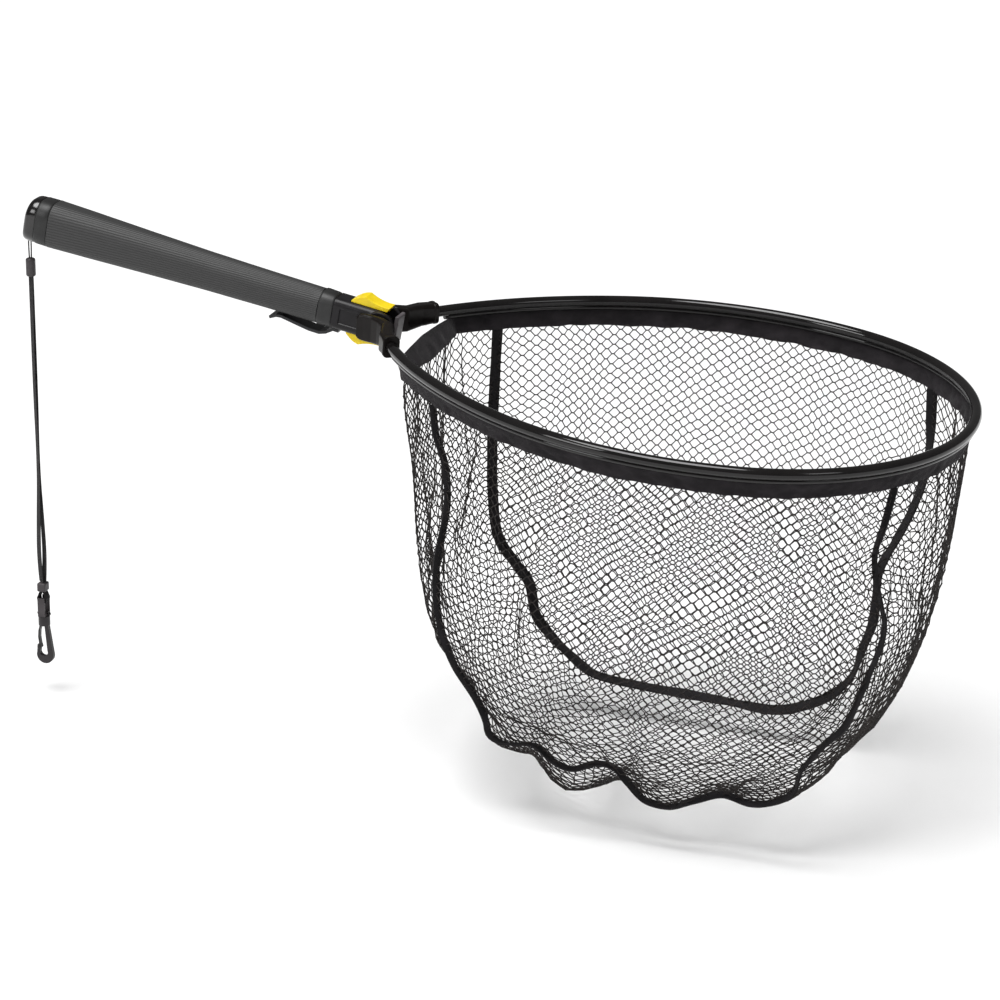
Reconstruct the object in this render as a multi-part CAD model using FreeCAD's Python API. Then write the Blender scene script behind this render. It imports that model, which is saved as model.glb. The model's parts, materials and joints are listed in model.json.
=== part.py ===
import FreeCAD, Part
import math
import os

from FreeCAD import Rotation, Vector

# A folding landing net, in millimetres. +X runs from the handle to the hoop's tip,
# +Z is up, and the origin is the middle of the grip, on the handle's axis.
# The handle is modelled along X at the origin, and the head along X from the hinge;
# each is then tilted nose down to the angle at which the net is held.
os.makedirs("parts", exist_ok=True)

HANDLE_TILT = 10.7
HEAD_TILT = 3.8
HINGE_U = 195.5

# Handle: places along its axis, with the grip's middle at 0.
GRIP_REAR = -131.0
GRIP_FRONT = 136.0
REAR_COLLAR = 13.2
CAP_LENGTH = 12.3
FRONT_COLLAR = 14.4
TUBE_R = 11.0
TUBE_WALL = 1.5
CAP_U = GRIP_REAR - REAR_COLLAR
BUTT_U = CAP_U - CAP_LENGTH
HOUSING_U = GRIP_FRONT + FRONT_COLLAR
# Grip stations: place, width across, height.
GRIP_STATIONS = [(-131, 35.3, 43.0), (-96, 34.0, 41.4), (-36, 31.2, 38.2)]
GRIP_STATIONS += [(24, 29.2, 35.2), (84, 28.2, 33.6), (136, 27.6, 32.8)]

# Hinge housing, lock and hub.
HOUSING_W = 26.0
HOUSING_H = 29.0
CHEEK_IN = 8.9
AXLE_R = 3.0
RUNNING = 0.05
TONGUE_HALF = 5.4
DRUM_R = 11.0
DRUM_REST_R = 6.8
NOSE_HALF = 2.9
WASHER = 0.5
ARM_IN = 13.9
ARM_PLATE = 5.2
AXLE_GRIP = 4.0
PIN_BACK = 21.5
LOCK_PIN_R = 1.5
TONGUE_REAR = 32.5
TONGUE_SHOULDER = 13.5
NOSE_FRONT = 7.2
SLIDER_HALF = 7.4
SPRING_R = 3.6
SPRING_WIRE_R = 0.45
SPRING_TURNS = 5

# Belt clip, screwed under the housing.
CLIP_SCREW_U = HOUSING_U + 4.8
CLIP_SCREW_Y = 5.0
CLIP_SCREW_R = 1.25
CLIP_HEAD_R = 2.0
CLIP_TOP = -HOUSING_H / 2 - 0.4
CLIP_T = 2.6
CLIP_HALF = 8.0

# Hoop: tangent arcs from the tip round to the socket: radius, polar angle where the arc ends.
TIP_X = 539.0
HOOP_ARCS = [(204.0, 75.2), (304.0, 117.0), (415.0, 142.9)]
RAIL_R = 5.0
RAIL_WALL = 1.2
CHANNEL_Z = -6.4
CHANNEL_R = 2.6
CHANNEL_END = 141.4
BEAD_R = 1.5
SOCKET_DEPTH = 20.0
SOCKET_SCREW = 10.0

# Fabric band and netting bag, in the head's own frame, below the hoop's plane.
BAND_TOP = -4.2
BAND_BOTTOM = -26.0
BAND_THICK = 0.8
BAND_CROSS_X = 37.0
NET_WALL = 0.6
TAPE_Y = 130.0
TAPE_HALF = 5.5
BAG_POINTS = 36
# Bag sections: depth, rear x, front x, half width, corner power.
BAG_SECTIONS = [(-95, 52, 528, 190, 2.5), (-180, 68, 512, 172, 2.8)]
BAG_SECTIONS += [(-270, 108, 474, 152, 3.2), (-325, 150, 430, 140, 3.4)]
BAG_BOTTOM = (-352, 192, 390, 131, 3.4)

# Lanyard: levels below the tie pin.
PIN_U = BUTT_U + 2.0
PIN_V = -16.6
PIN_R = 1.0
LOOP_R = 0.65
BARREL = (-23.4, -40.7, 4.5)
RIBBON_W = 8.5
RIBBON_T = 0.9
CRIMP = (-343.4, -352.0)
EYE_BOTTOM = -364.7
COLLAR = (-377.0, -386.6, 5.6)
HOOK_BOTTOM = -425.6
HOOK_HALF_T = 2.4
PIN_RISE = 1.95
LOOP_ROUTE = [(-1.0, 0, -23.4), (-1.9, 0, 1.8), (1.9, 0, 1.8), (1.0, 0, -23.4)]
# One leg of the ribbon; the other is its half turn about the lanyard's axis.
RIBBON_ROUTE = [(0.2, -0.8, -40.7), (-0.6, -1.5, -142), (0.9, -1.2, -226)]
RIBBON_ROUTE += [(-1.6, -1.0, -283), (-2.7, -0.9, -320), (-1.0, -0.6, -342.8)]


def box(u0, u1, y0, y1, v0, v1):
    return Part.makeBox(u1 - u0, y1 - y0, v1 - v0, Vector(u0, y0, v0))


def rod(radius, start, end):
    start, end = Vector(*start), Vector(*end)
    return Part.makeCylinder(radius, (end - start).Length, start, end - start)


def rounded_rect(u, width, height, radius):
    """Closed wire at x = u, wide across y and high along z."""
    half_w, half_h = width / 2 - radius, height / 2 - radius
    edges = []
    for turn, (sy, sz) in enumerate([(1, 1), (-1, 1), (-1, -1), (1, -1)]):
        corner = Vector(u, sy * half_w, sz * half_h)
        edges.append(Part.makeCircle(radius, corner, Vector(1, 0, 0), 90 * turn, 90 * turn + 90))
    wires = []
    for here, after in zip(edges, edges[1:] + edges[:1]):
        wires.append(here)
        wires.append(Part.makeLine(here.Vertexes[-1].Point, after.Vertexes[0].Point))
    return Part.Wire(Part.__sortEdges__(wires))


def loft(wires, ruled=False):
    return Part.makeLoft(wires, True, ruled)


def outline_solid(edges, half_thickness):
    """A flat piece in the XZ plane, thickened both ways along Y."""
    face = Part.Face(Part.Wire(Part.__sortEdges__(edges)))
    face.translate(Vector(0, -half_thickness, 0))
    return face.extrude(Vector(0, 2 * half_thickness, 0))


def polygon(points, half_thickness):
    corners = [Vector(x, 0, z) for x, z in points]
    wire = Part.makePolygon(corners + corners[:1])
    return outline_solid(wire.Edges, half_thickness)


def strip(points, thickness, half_width):
    """A bent strip: its centre line in (x, z), its thickness and half its width."""
    upper, lower = [], []
    for i, (x, z) in enumerate(points):
        before = points[max(i - 1, 0)]
        after = points[min(i + 1, len(points) - 1)]
        length = math.hypot(after[0] - before[0], after[1] - before[1])
        nx, nz = -(after[1] - before[1]) / length, (after[0] - before[0]) / length
        upper.append((x + nx * thickness / 2, z + nz * thickness / 2))
        lower.append((x - nx * thickness / 2, z - nz * thickness / 2))
    return polygon(upper + lower[::-1], half_width)


def on_handle(shape):
    placed = shape.copy()
    placed.rotate(Vector(0, 0, 0), Vector(0, 1, 0), HANDLE_TILT)
    return placed


def handle_point(u, v):
    return Rotation(Vector(0, 1, 0), HANDLE_TILT).multVec(Vector(u, 0, v))


HINGE = handle_point(HINGE_U, 0)
TIE = handle_point(PIN_U, PIN_V)


def on_head(shape):
    placed = shape.copy()
    placed.rotate(Vector(0, 0, 0), Vector(0, 1, 0), HEAD_TILT)
    placed.translate(HINGE)
    return placed


def on_lanyard(shape):
    placed = shape.copy()
    placed.translate(TIE)
    return placed


def save(name, shape):
    if not shape.isValid():
        print("not valid:", name)
    print(f"{name}: {len(shape.Solids)} solid, {shape.Volume / 1000:.2f} cm3")
    shape.exportStep(f"parts/{name}.step")


# Handle

def handle_tube():
    outer = rod(TUBE_R, (CAP_U, 0, 0), (HOUSING_U, 0, 0))
    return outer.cut(rod(TUBE_R - TUBE_WALL, (CAP_U, 0, 0), (HOUSING_U, 0, 0)))


def grip_sleeve():
    body = loft([rounded_rect(u, w, h, 0.4 * w) for u, w, h in GRIP_STATIONS])
    return body.cut(rod(TUBE_R, (GRIP_REAR, 0, 0), (GRIP_FRONT, 0, 0)))


def rear_collar():
    body = loft([rounded_rect(CAP_U, 34.6, 42.4, 13.8), rounded_rect(GRIP_REAR, 35.0, 42.8, 14.0)])
    return body.cut(rod(TUBE_R, (CAP_U, 0, 0), (GRIP_REAR, 0, 0)))


def front_collar():
    body = loft([rounded_rect(GRIP_FRONT, 27.2, 32.2, 10.8), rounded_rect(HOUSING_U, 26.6, 31.0, 10.0)])
    return body.cut(rod(TUBE_R, (GRIP_FRONT, 0, 0), (HOUSING_U, 0, 0)))


def butt_cap():
    """Domed cap with a plug for the tube and a notch for the tie pin."""
    stations = [(CAP_U, 34.6, 42.4), (CAP_U - 6, 33.6, 41.2)]
    stations += [(BUTT_U + 2, 28.0, 35.6), (BUTT_U, 21.0, 28.6)]
    cap = loft([rounded_rect(u, w, h, 0.4 * w) for u, w, h in stations], ruled=True)
    cap = cap.fuse(rod(TUBE_R - TUBE_WALL, (CAP_U, 0, 0), (CAP_U + 18, 0, 0)))
    cap = cap.cut(box(BUTT_U - 1, PIN_U + 4, -4.5, 4.5, -25, PIN_V + 3.6))
    return cap.cut(rod(PIN_R, (PIN_U, -8, PIN_V), (PIN_U, 8, PIN_V)))


def tie_pin():
    return rod(PIN_R, (PIN_U, -8, PIN_V), (PIN_U, 8, PIN_V))


def slider_slot(side):
    v0, v1 = sorted((side * 5.0, side * (HOUSING_H / 2 + 1)))
    pin_u = HINGE_U - PIN_BACK
    return box(pin_u - 9.3, pin_u + 3.3, -2.7, 2.7, v0, v1)


def hinge_housing():
    """Hollow block with two cheeks for the axle, a channel for the bolt and two slider slots."""
    block = loft([rounded_rect(u, HOUSING_W, HOUSING_H, 6) for u in (HOUSING_U, HINGE_U)])
    cheeks = rod(HOUSING_H / 2, (HINGE_U, -HOUSING_W / 2, 0), (HINGE_U, HOUSING_W / 2, 0))
    block = block.fuse(cheeks)
    cavity = rod(DRUM_R + 0.5, (HINGE_U, -CHEEK_IN, 0), (HINGE_U, CHEEK_IN, 0))
    cavity = cavity.fuse(box(HINGE_U, HINGE_U + 15, -CHEEK_IN, CHEEK_IN, -15, 15))
    channel_half = TONGUE_HALF + 0.4
    channel = box(HOUSING_U + 0.9, HINGE_U, -channel_half, channel_half, -channel_half, channel_half)
    block = block.cut(cavity).cut(channel).cut(slider_slot(1)).cut(slider_slot(-1))
    block = block.cut(rod(AXLE_R + RUNNING, (HINGE_U, -20, 0), (HINGE_U, 20, 0)))
    for side in (-1, 1):
        y0, y1 = sorted((side * (HOUSING_W / 2 - 1.2), side * (HOUSING_W / 2 + 1)))
        block = block.cut(box(HOUSING_U + 7, HOUSING_U + 27, y0, y1, -7, 7))
        block = block.cut(clip_screw_rod(CLIP_SCREW_R, side, -20, -8))
    plug = rod(TUBE_R - TUBE_WALL, (HOUSING_U - 18, 0, 0), (HOUSING_U, 0, 0))
    return block.fuse(plug).removeSplitter()


def front_plate():
    """Cover between the cheeks, in front of the drum."""
    plate = box(HINGE_U + 13.0, HINGE_U + 16.4, -CHEEK_IN + 0.1, CHEEK_IN - 0.1, -13.4, 13.4)
    return plate.makeFillet(1.2, [edge for edge in plate.Edges if edge.BoundBox.XMin > HINGE_U + 16])


def clip_screw_rod(radius, side, low, high):
    y = side * CLIP_SCREW_Y
    return rod(radius, (CLIP_SCREW_U, y, low), (CLIP_SCREW_U, y, high))


def belt_clip():
    """Long flat spring from the housing back to a flared lip that rests by the grip."""
    mid = CLIP_TOP - CLIP_T / 2
    route = [(HOUSING_U + 7.6, mid), (HOUSING_U + 2.0, mid), (146, -20.8), (140, -22.9)]
    route += [(130, -22.8), (116, -20.8), (102, -18.7), (97, -19.4), (91, -22.6)]
    clip = strip(route, CLIP_T, CLIP_HALF)
    for side in (-1, 1):
        clip = clip.cut(clip_screw_rod(1.5, side, -25, -10))
        clip = clip.cut(clip_screw_rod(CLIP_HEAD_R + 0.35, side, -25, CLIP_TOP - CLIP_T + 1.55))
    return clip


def clip_screws():
    screws = []
    bottom = CLIP_TOP - CLIP_T
    for side in (-1, 1):
        shank = clip_screw_rod(CLIP_SCREW_R, side, bottom + 1.2, -8)
        head = clip_screw_rod(CLIP_HEAD_R, side, bottom, bottom + 1.2)
        screws.append(shank.fuse(head))
    return Part.makeCompound(screws)


# Lock

def slider(side):
    """Thumb slider with a hollowed slope, and a stem down to the bolt."""
    base = HOUSING_H / 2 + 0.1

    def at(back, rise):
        return Vector(HINGE_U - back, 0, base + rise)
    edges = [
        Part.makeLine(at(31, 0), at(30.4, 2.0)),
        Part.makeLine(at(30.4, 2.0), at(25.5, 5.6)),
        Part.Arc(at(25.5, 5.6), at(21.5, 7.6), at(17.5, 8.6)).toShape(),
        Part.Arc(at(17.5, 8.6), at(7.5, 5.0), at(-6, 4.2)).toShape(),
        Part.makeLine(at(-6, 4.2), at(-4, 0)),
        Part.makeLine(at(-4, 0), at(31, 0)),
    ]
    body = outline_solid(edges, SLIDER_HALF)
    pin_u = HINGE_U - PIN_BACK
    stem = box(pin_u - 3, pin_u + 3, -2.4, 2.4, TONGUE_HALF, base)
    body = body.fuse(stem).cut(rod(LOCK_PIN_R, (pin_u, 0, 0), (pin_u, 0, HOUSING_H / 2 - 2)))
    if side < 0:
        body = body.mirror(Vector(0, 0, 0), Vector(0, 0, 1))
    return body.removeSplitter()


def lock_tongue():
    """Sliding bolt; its nose sits above the drum's step and stops the head from dropping."""
    half = TONGUE_HALF
    bar = box(HINGE_U - TONGUE_REAR, HINGE_U - TONGUE_SHOULDER, -half, half, -half, half)
    nose = box(HINGE_U - TONGUE_SHOULDER, HINGE_U - NOSE_FRONT, -half, half, -NOSE_HALF, NOSE_HALF)
    pin_u = HINGE_U - PIN_BACK
    return bar.fuse(nose).cut(rod(LOCK_PIN_R, (pin_u, 0, -9), (pin_u, 0, 9))).removeSplitter()


def slider_pin():
    reach = HOUSING_H / 2 - 2
    return rod(LOCK_PIN_R, (HINGE_U - PIN_BACK, 0, -reach), (HINGE_U - PIN_BACK, 0, reach))


def lock_spring():
    length = HINGE_U - TONGUE_REAR - (HOUSING_U + 0.9) - 1.0
    helix = Part.makeHelix(length / SPRING_TURNS, length, SPRING_R)
    circle = Part.makeCircle(SPRING_WIRE_R, Vector(SPRING_R, 0, 0), Vector(0, 1, 0))
    profile = Part.Wire([circle])
    coil = Part.Wire(helix).makePipeShell([profile], True, True)
    coil.rotate(Vector(0, 0, 0), Vector(0, 1, 0), 90)
    coil.translate(Vector(HOUSING_U + 1.4, 0, 0))
    return coil


# Hub and yoke arms, in the head's frame with the hinge at the origin.

def hub_drum():
    """Half-moon cam: full radius below and behind, cut down above so that it clears the bolt's nose."""
    half = CHEEK_IN - 0.3
    low = rod(DRUM_R, (0, -half, 0), (0, half, 0))
    relief = box(-20, 20, -20, 20, -NOSE_HALF - 0.1, 20)
    relief.rotate(Vector(0, 0, 0), Vector(0, 1, 0), HANDLE_TILT - HEAD_TILT)
    drum = low.cut(relief).fuse(rod(DRUM_REST_R, (0, -half, 0), (0, half, 0)))
    return drum.cut(rod(AXLE_R, (0, -20, 0), (0, 20, 0))).removeSplitter()


def hinge_axle():
    reach = ARM_IN + AXLE_GRIP
    return rod(AXLE_R, (0, -reach, 0), (0, reach, 0))


def friction_washers():
    rings = []
    for side in (-1, 1):
        inner = side * (HOUSING_W / 2 + 0.03)
        outer = side * (HOUSING_W / 2 + 0.03 + WASHER)
        ring = rod(9.0, (HINGE_U, inner, 0), (HINGE_U, outer, 0))
        rings.append(ring.cut(rod(AXLE_R + 0.1, (HINGE_U, inner, 0), (HINGE_U, outer, 0))))
    return Part.makeCompound(rings)


def hoop_segments():
    """Each arc of one side of the hoop: centre, radius, first and last polar angle."""
    segments = []
    centre_x, centre_y = TIP_X - HOOP_ARCS[0][0], 0.0
    start = 0.0
    for i, (radius, end) in enumerate(HOOP_ARCS):
        segments.append((centre_x, centre_y, radius, start, end))
        if i + 1 < len(HOOP_ARCS):
            change = radius - HOOP_ARCS[i + 1][0]
            centre_x += change * math.cos(math.radians(end))
            centre_y += change * math.sin(math.radians(end))
        start = end
    return segments


def hoop_end():
    """Where the hoop's centre line meets the socket's mouth, and its direction there."""
    centre_x, centre_y, radius, _, end = hoop_segments()[-1]
    angle = math.radians(end)
    point = Vector(centre_x + radius * math.cos(angle), centre_y + radius * math.sin(angle), 0)
    return point, Vector(-math.sin(angle), math.cos(angle), 0)


def around_hoop(make_face, last_angle=None):
    """Sweep a section round both sides of the hoop. make_face gives it at radius r, angle 0."""
    solids = []
    segments = hoop_segments()
    for i, (cx, cy, radius, start, end) in enumerate(segments):
        if last_angle and i == len(segments) - 1:
            end = last_angle
        centre = Vector(cx, cy, 0)
        face = make_face(radius)
        face.translate(centre)
        solid = face.revolve(centre, Vector(0, 0, 1), end - start)
        solid.rotate(centre, Vector(0, 0, 1), start)
        solids.append(solid)
        solids.append(solid.mirror(Vector(0, 0, 0), Vector(0, 1, 0)))
    return solids[0].multiFuse(solids[1:]).removeSplitter()


def disc(radius, z):
    def make(r):
        return Part.Face(Part.Wire([Part.makeCircle(radius, Vector(r, 0, z), Vector(0, 1, 0))]))
    return make


def upright(r, half, low, high):
    """Narrow upright face at radius r."""
    corners = [Vector(r - half, 0, low), Vector(r + half, 0, low), Vector(r + half, 0, high)]
    corners.append(Vector(r - half, 0, high))
    return Part.Face(Part.makePolygon(corners + corners[:1]))


def hoop_frame():
    """Hollow rail with a small slotted channel under it that holds the band's bead."""
    end, along = hoop_end()
    straight_end = end + along * SOCKET_DEPTH
    rail = around_hoop(disc(RAIL_R, 0))
    bore = around_hoop(disc(RAIL_R - RAIL_WALL, 0))
    for side in (1, -1):
        near = Vector(end.x, side * end.y, 0)
        far = Vector(straight_end.x, side * straight_end.y, 0)
        rail = rail.fuse(rod(RAIL_R, tuple(near), tuple(far)))
        bore = bore.fuse(rod(RAIL_R - RAIL_WALL, tuple(near), tuple(far)))

    def slot_face(r):
        return upright(r, 0.55, CHANNEL_Z - 4, CHANNEL_Z)

    channel = around_hoop(disc(CHANNEL_R, CHANNEL_Z), CHANNEL_END)
    hollow = around_hoop(disc(BEAD_R + 0.1, CHANNEL_Z), CHANNEL_END)
    slot = around_hoop(slot_face, CHANNEL_END)
    rail = rail.cut(bore).fuse(channel.cut(around_hoop(disc(RAIL_R - 0.2, 0), CHANNEL_END)))
    return rail.cut(hollow).cut(slot).removeSplitter()


def rim_bead():
    return around_hoop(disc(BEAD_R, CHANNEL_Z), CHANNEL_END - 0.2)


def rim_band():
    """Fabric band under the whole rail, and straight across between the sockets."""
    half = BAND_THICK / 2

    def section(r):
        return upright(r, half, BAND_BOTTOM, CHANNEL_Z - BEAD_R - 0.2)
    cx, cy, radius, _, _ = hoop_segments()[-1]
    cross_angle = math.degrees(math.acos((BAND_CROSS_X - cx) / radius))
    cross_y = cy + radius * math.sin(math.radians(cross_angle))
    front = BAND_CROSS_X + half
    cross = box(front - BAND_THICK, front, -cross_y, cross_y, BAND_BOTTOM, BAND_TOP)
    rail_room = around_hoop(disc(RAIL_R + 0.3, 0)).fuse(around_hoop(disc(CHANNEL_R + 0.3, CHANNEL_Z)))
    return around_hoop(section, cross_angle).fuse(cross.cut(rail_room)).removeSplitter()


def yoke_arm(side):
    """Plate beside the housing that swings out into a socket for the rail's end."""
    end, along = hoop_end()
    turn = math.degrees(math.atan2(along.y, along.x)) + 180
    plate_y = ARM_IN + ARM_PLATE / 2
    mouth = end - along * 0.5
    deep = end + along * 16.0
    # Each section: place, direction, width, height, corner radius.
    sections = [((-18.7, plate_y), 0, ARM_PLATE, 19.0, 2.4), ((-16.5, plate_y), 0, ARM_PLATE, 23.6, 2.4)]
    sections += [((-12, plate_y + 0.2), 0, ARM_PLATE + 0.4, 25.4, 2.6), ((-3, 17.6), 8, 7.4, 25.6, 3.0)]
    sections += [((5, 20.3), 22, 9.6, 25.0, 3.4), ((13, 25.2), 40, 11.6, 23.4, 3.8)]
    sections += [((deep.x, deep.y), turn, 13.4, 20.6, 4.0), ((mouth.x, mouth.y), turn, 14.0, 18.2, 4.2)]
    wires = []
    for (x, y), angle, width, height, radius in sections:
        wire = rounded_rect(0, width, height, radius)
        wire.rotate(Vector(0, 0, 0), Vector(0, 0, 1), angle)
        wire.translate(Vector(x, y, 0))
        wires.append(wire)
    arm = loft(wires, ruled=True)
    lip = loft([rounded_rect(0, 15.6, 19.6, 4.8), rounded_rect(4, 15.6, 19.6, 4.8)])
    lip.rotate(Vector(0, 0, 0), Vector(0, 0, 1), turn)
    lip.translate(end + along * 3.5)
    arm = arm.fuse(lip)
    arm = arm.cut(rod(RAIL_R, tuple(end - along * 6), tuple(end + along * SOCKET_DEPTH)))
    arm = arm.cut(rod(AXLE_R, (0, 0, 0), (0, ARM_IN + AXLE_GRIP, 0)))
    hole = end + along * SOCKET_SCREW
    arm = arm.cut(rod(1.5, (hole.x, hole.y, -20), (hole.x, hole.y, 0)))
    if side < 0:
        arm = arm.mirror(Vector(0, 0, 0), Vector(0, 1, 0))
    return arm.removeSplitter()


def socket_screws():
    """One screw from below in each socket, through the rail's wall."""
    end, along = hoop_end()
    hole = end + along * SOCKET_SCREW
    screws = []
    for side in (1, -1):
        shank = rod(1.5, (hole.x, side * hole.y, -9.4), (hole.x, side * hole.y, -2))
        head = rod(2.6, (hole.x, side * hole.y, -10.6), (hole.x, side * hole.y, -9.4))
        screws.append(shank.fuse(head))
    return Part.makeCompound(screws)


# Netting bag

def hoop_radius(angle, centre_x):
    """Distance from (centre_x, 0) to the hoop's centre line, or to the band across the yoke."""
    dx, dy = math.cos(angle), abs(math.sin(angle))
    reaches = []
    if dx < 0:
        reaches.append((BAND_CROSS_X - centre_x) / dx)
    for cx, cy, radius, _, _ in hoop_segments():
        ox, oy = centre_x - cx, -cy
        b = ox * dx + oy * dy
        reach = -b + math.sqrt(max(b * b - (ox * ox + oy * oy - radius * radius), 0))
        x, y = centre_x + reach * dx, reach * dy
        polar = math.degrees(math.atan2(y - cy, x - cx))
        limits = [(s, e) for _, _, r, s, e in hoop_segments() if r == radius][0]
        if limits[0] - 0.01 <= polar <= limits[1] + 0.01:
            reaches.append(reach)
    return min(reaches)


def bag_section(depth, rear, front, half, power, inset):
    """Closed smooth curve at one depth: a rounded box of the given power."""
    centre = (rear + front) / 2
    half_x = (front - rear) / 2 - inset
    points = []
    for i in range(BAG_POINTS):
        angle = 2 * math.pi * i / BAG_POINTS
        c, s = math.cos(angle), math.sin(angle)
        reach = (abs(c / half_x) ** power + abs(s / (half - inset)) ** power) ** (-1 / power)
        points.append(Vector(centre + reach * c, reach * s, depth))
    return closed_curve(points)


def closed_curve(points):
    curve = Part.BSplineCurve()
    curve.interpolate(points, True)
    return Part.Wire([curve.toShape()])


def rim_section(depth, inset):
    centre = 285.0
    points = []
    for i in range(BAG_POINTS):
        angle = 2 * math.pi * i / BAG_POINTS
        reach = hoop_radius(angle, centre) - inset
        points.append(Vector(centre + reach * math.cos(angle), reach * math.sin(angle), depth))
    return closed_curve(points)


def bag_solid(inset):
    top = BAND_BOTTOM - 0.3
    if inset:
        top += 2.0
    wires = [rim_section(top, 1.0 + inset)]
    for depth, rear, front, half, power in BAG_SECTIONS:
        wires.append(bag_section(depth, rear, front, half, power, inset))
    depth, rear, front, half, power = BAG_BOTTOM
    wires.append(bag_section(depth + inset, rear, front, half, power, inset))
    return loft(wires)


def bag_nodes():
    shell = bag_solid(0).cut(bag_solid(NET_WALL))
    inner, outer = TAPE_Y - TAPE_HALF, TAPE_Y + TAPE_HALF
    nodes = {"net_gusset": shell.common(box(-50, 600, -inner, inner, -400, 0))}
    for name, side in (("near", -1), ("far", 1)):
        low, high = sorted((side * inner, side * outer))
        nodes["seam_tape_" + name] = shell.common(box(-50, 600, low, high, -400, 0))
        low, high = sorted((side * outer, side * 300))
        nodes["net_side_" + name] = shell.common(box(-50, 600, low, high, -400, 0))
    return nodes


# Lanyard, with the tie pin's centre at the origin

def tube_path(points):
    """Straight runs joined by tangent arcs; prints each arc's radius."""
    runs = [Vector(*p) for p in points]
    edges = []
    start = runs[0]
    for before, corner, after in zip(runs, runs[1:], runs[2:]):
        back, ahead = before - corner, after - corner
        half_turn = (math.pi - back.getAngle(ahead)) / 2
        setback = 0.45 * min(back.Length, ahead.Length)
        radius = setback / math.tan(half_turn)
        back, ahead = back.normalize(), ahead.normalize()
        arc_start, arc_end = corner + back * setback, corner + ahead * setback
        bisector = (back + ahead).normalize()
        middle = corner + bisector * (radius / math.cos(half_turn) - radius)
        edges.append(Part.makeLine(start, arc_start))
        edges.append(Part.Arc(arc_start, middle, arc_end).toShape())
        print(f"  arc radius {radius:.1f}")
        start = arc_end
    edges.append(Part.makeLine(start, runs[-1]))
    return Part.Wire(edges)


def swept(points, profile):
    path = tube_path(points)
    solid = path.makePipeShell([profile], True, False)
    area = Part.Face(profile).Area
    print(f"  volume {solid.Volume:.0f}, section times length {area * path.Length:.0f}")
    print(f"  length {path.Length:.1f}")
    return solid


def lanyard_cord():
    x, y, z = LOOP_ROUTE[0]
    heading = Vector(*LOOP_ROUTE[1]) - Vector(*LOOP_ROUTE[0])
    profile = Part.Wire([Part.makeCircle(LOOP_R, Vector(x, y, z), heading)])
    return swept(LOOP_ROUTE, profile)


def lanyard_barrel():
    top, bottom, radius = BARREL
    barrel = rod(radius, (0, 0, bottom), (0, 0, top))
    return barrel.makeFillet(1.8, barrel.Edges[0:1] + barrel.Edges[2:3])


def ribbon_leg(turned):
    x, y, z = RIBBON_ROUTE[0]
    half_w, half_t = RIBBON_W / 2, RIBBON_T / 2
    signs = ((1, 1), (-1, 1), (-1, -1), (1, -1))
    corners = [Vector(x + sx * half_w, y + sy * half_t, z) for sx, sy in signs]
    profile = Part.makePolygon(corners + corners[:1])
    leg = swept(RIBBON_ROUTE, profile)
    if turned:
        leg.rotate(Vector(0, 0, 0), Vector(0, 0, 1), 180)
    return leg


def lanyard_crimp():
    top, bottom = CRIMP
    crimp = box(-4.3, 4.3, -5.0, 5.0, bottom, top)
    return crimp.makeFillet(1.4, crimp.Edges)


def ribbon_eye():
    """The ribbon's loop below the crimp, round the swivel's bar."""
    top = CRIMP[1]
    low = EYE_BOTTOM
    outer_half = [(2.2, top), (5.0, top - 6.5), (4.4, top - 10.5), (1.8, low)]
    inner_half = [(1.2, top), (3.9, top - 6.6), (3.4, top - 9.9), (1.3, low + 1)]
    loops = []
    for half in (outer_half, inner_half):
        loops.append(polygon(half + [(-x, z) for x, z in half[::-1]], RIBBON_W / 2))
    return loops[0].cut(loops[1])


def swivel_yoke():
    """Bar for the ribbon's eye, two side plates, a base and the post that turns in the hook."""
    bar_z = EYE_BOTTOM + 1.2 + 2.2
    yoke = rod(2.1, (0, -6.2, bar_z), (0, 6.2, bar_z))
    base_top = COLLAR[0] + 3.4
    for side in (-1, 1):
        y0, y1 = sorted((side * 4.6, side * 6.2))
        yoke = yoke.fuse(box(-3.6, 3.6, y0, y1, base_top, bar_z + 3.2))
    yoke = yoke.fuse(box(-3.6, 3.6, -6.2, 6.2, COLLAR[0] + 0.3, base_top))
    yoke = yoke.fuse(rod(2.0, (0, 0, COLLAR[1] + 2.4), (0, 0, COLLAR[0] + 0.4)))
    yoke = yoke.cut(rod(1.2, (-10, 0, COLLAR[0] + PIN_RISE), (10, 0, COLLAR[0] + PIN_RISE)))
    return yoke.removeSplitter()


def swivel_pin():
    z = COLLAR[0] + PIN_RISE
    pin = rod(1.2, (-5.0, 0, z), (5.0, 0, z))
    for side in (-1, 1):
        pin = pin.fuse(Part.makeSphere(1.7, Vector(side * 5.3, 0, z)))
    return pin.cut(box(-3.6, 3.6, -6, 6, z - 5, z + 5)).fuse(rod(1.2, (-3.6, 0, z), (3.6, 0, z)))


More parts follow.
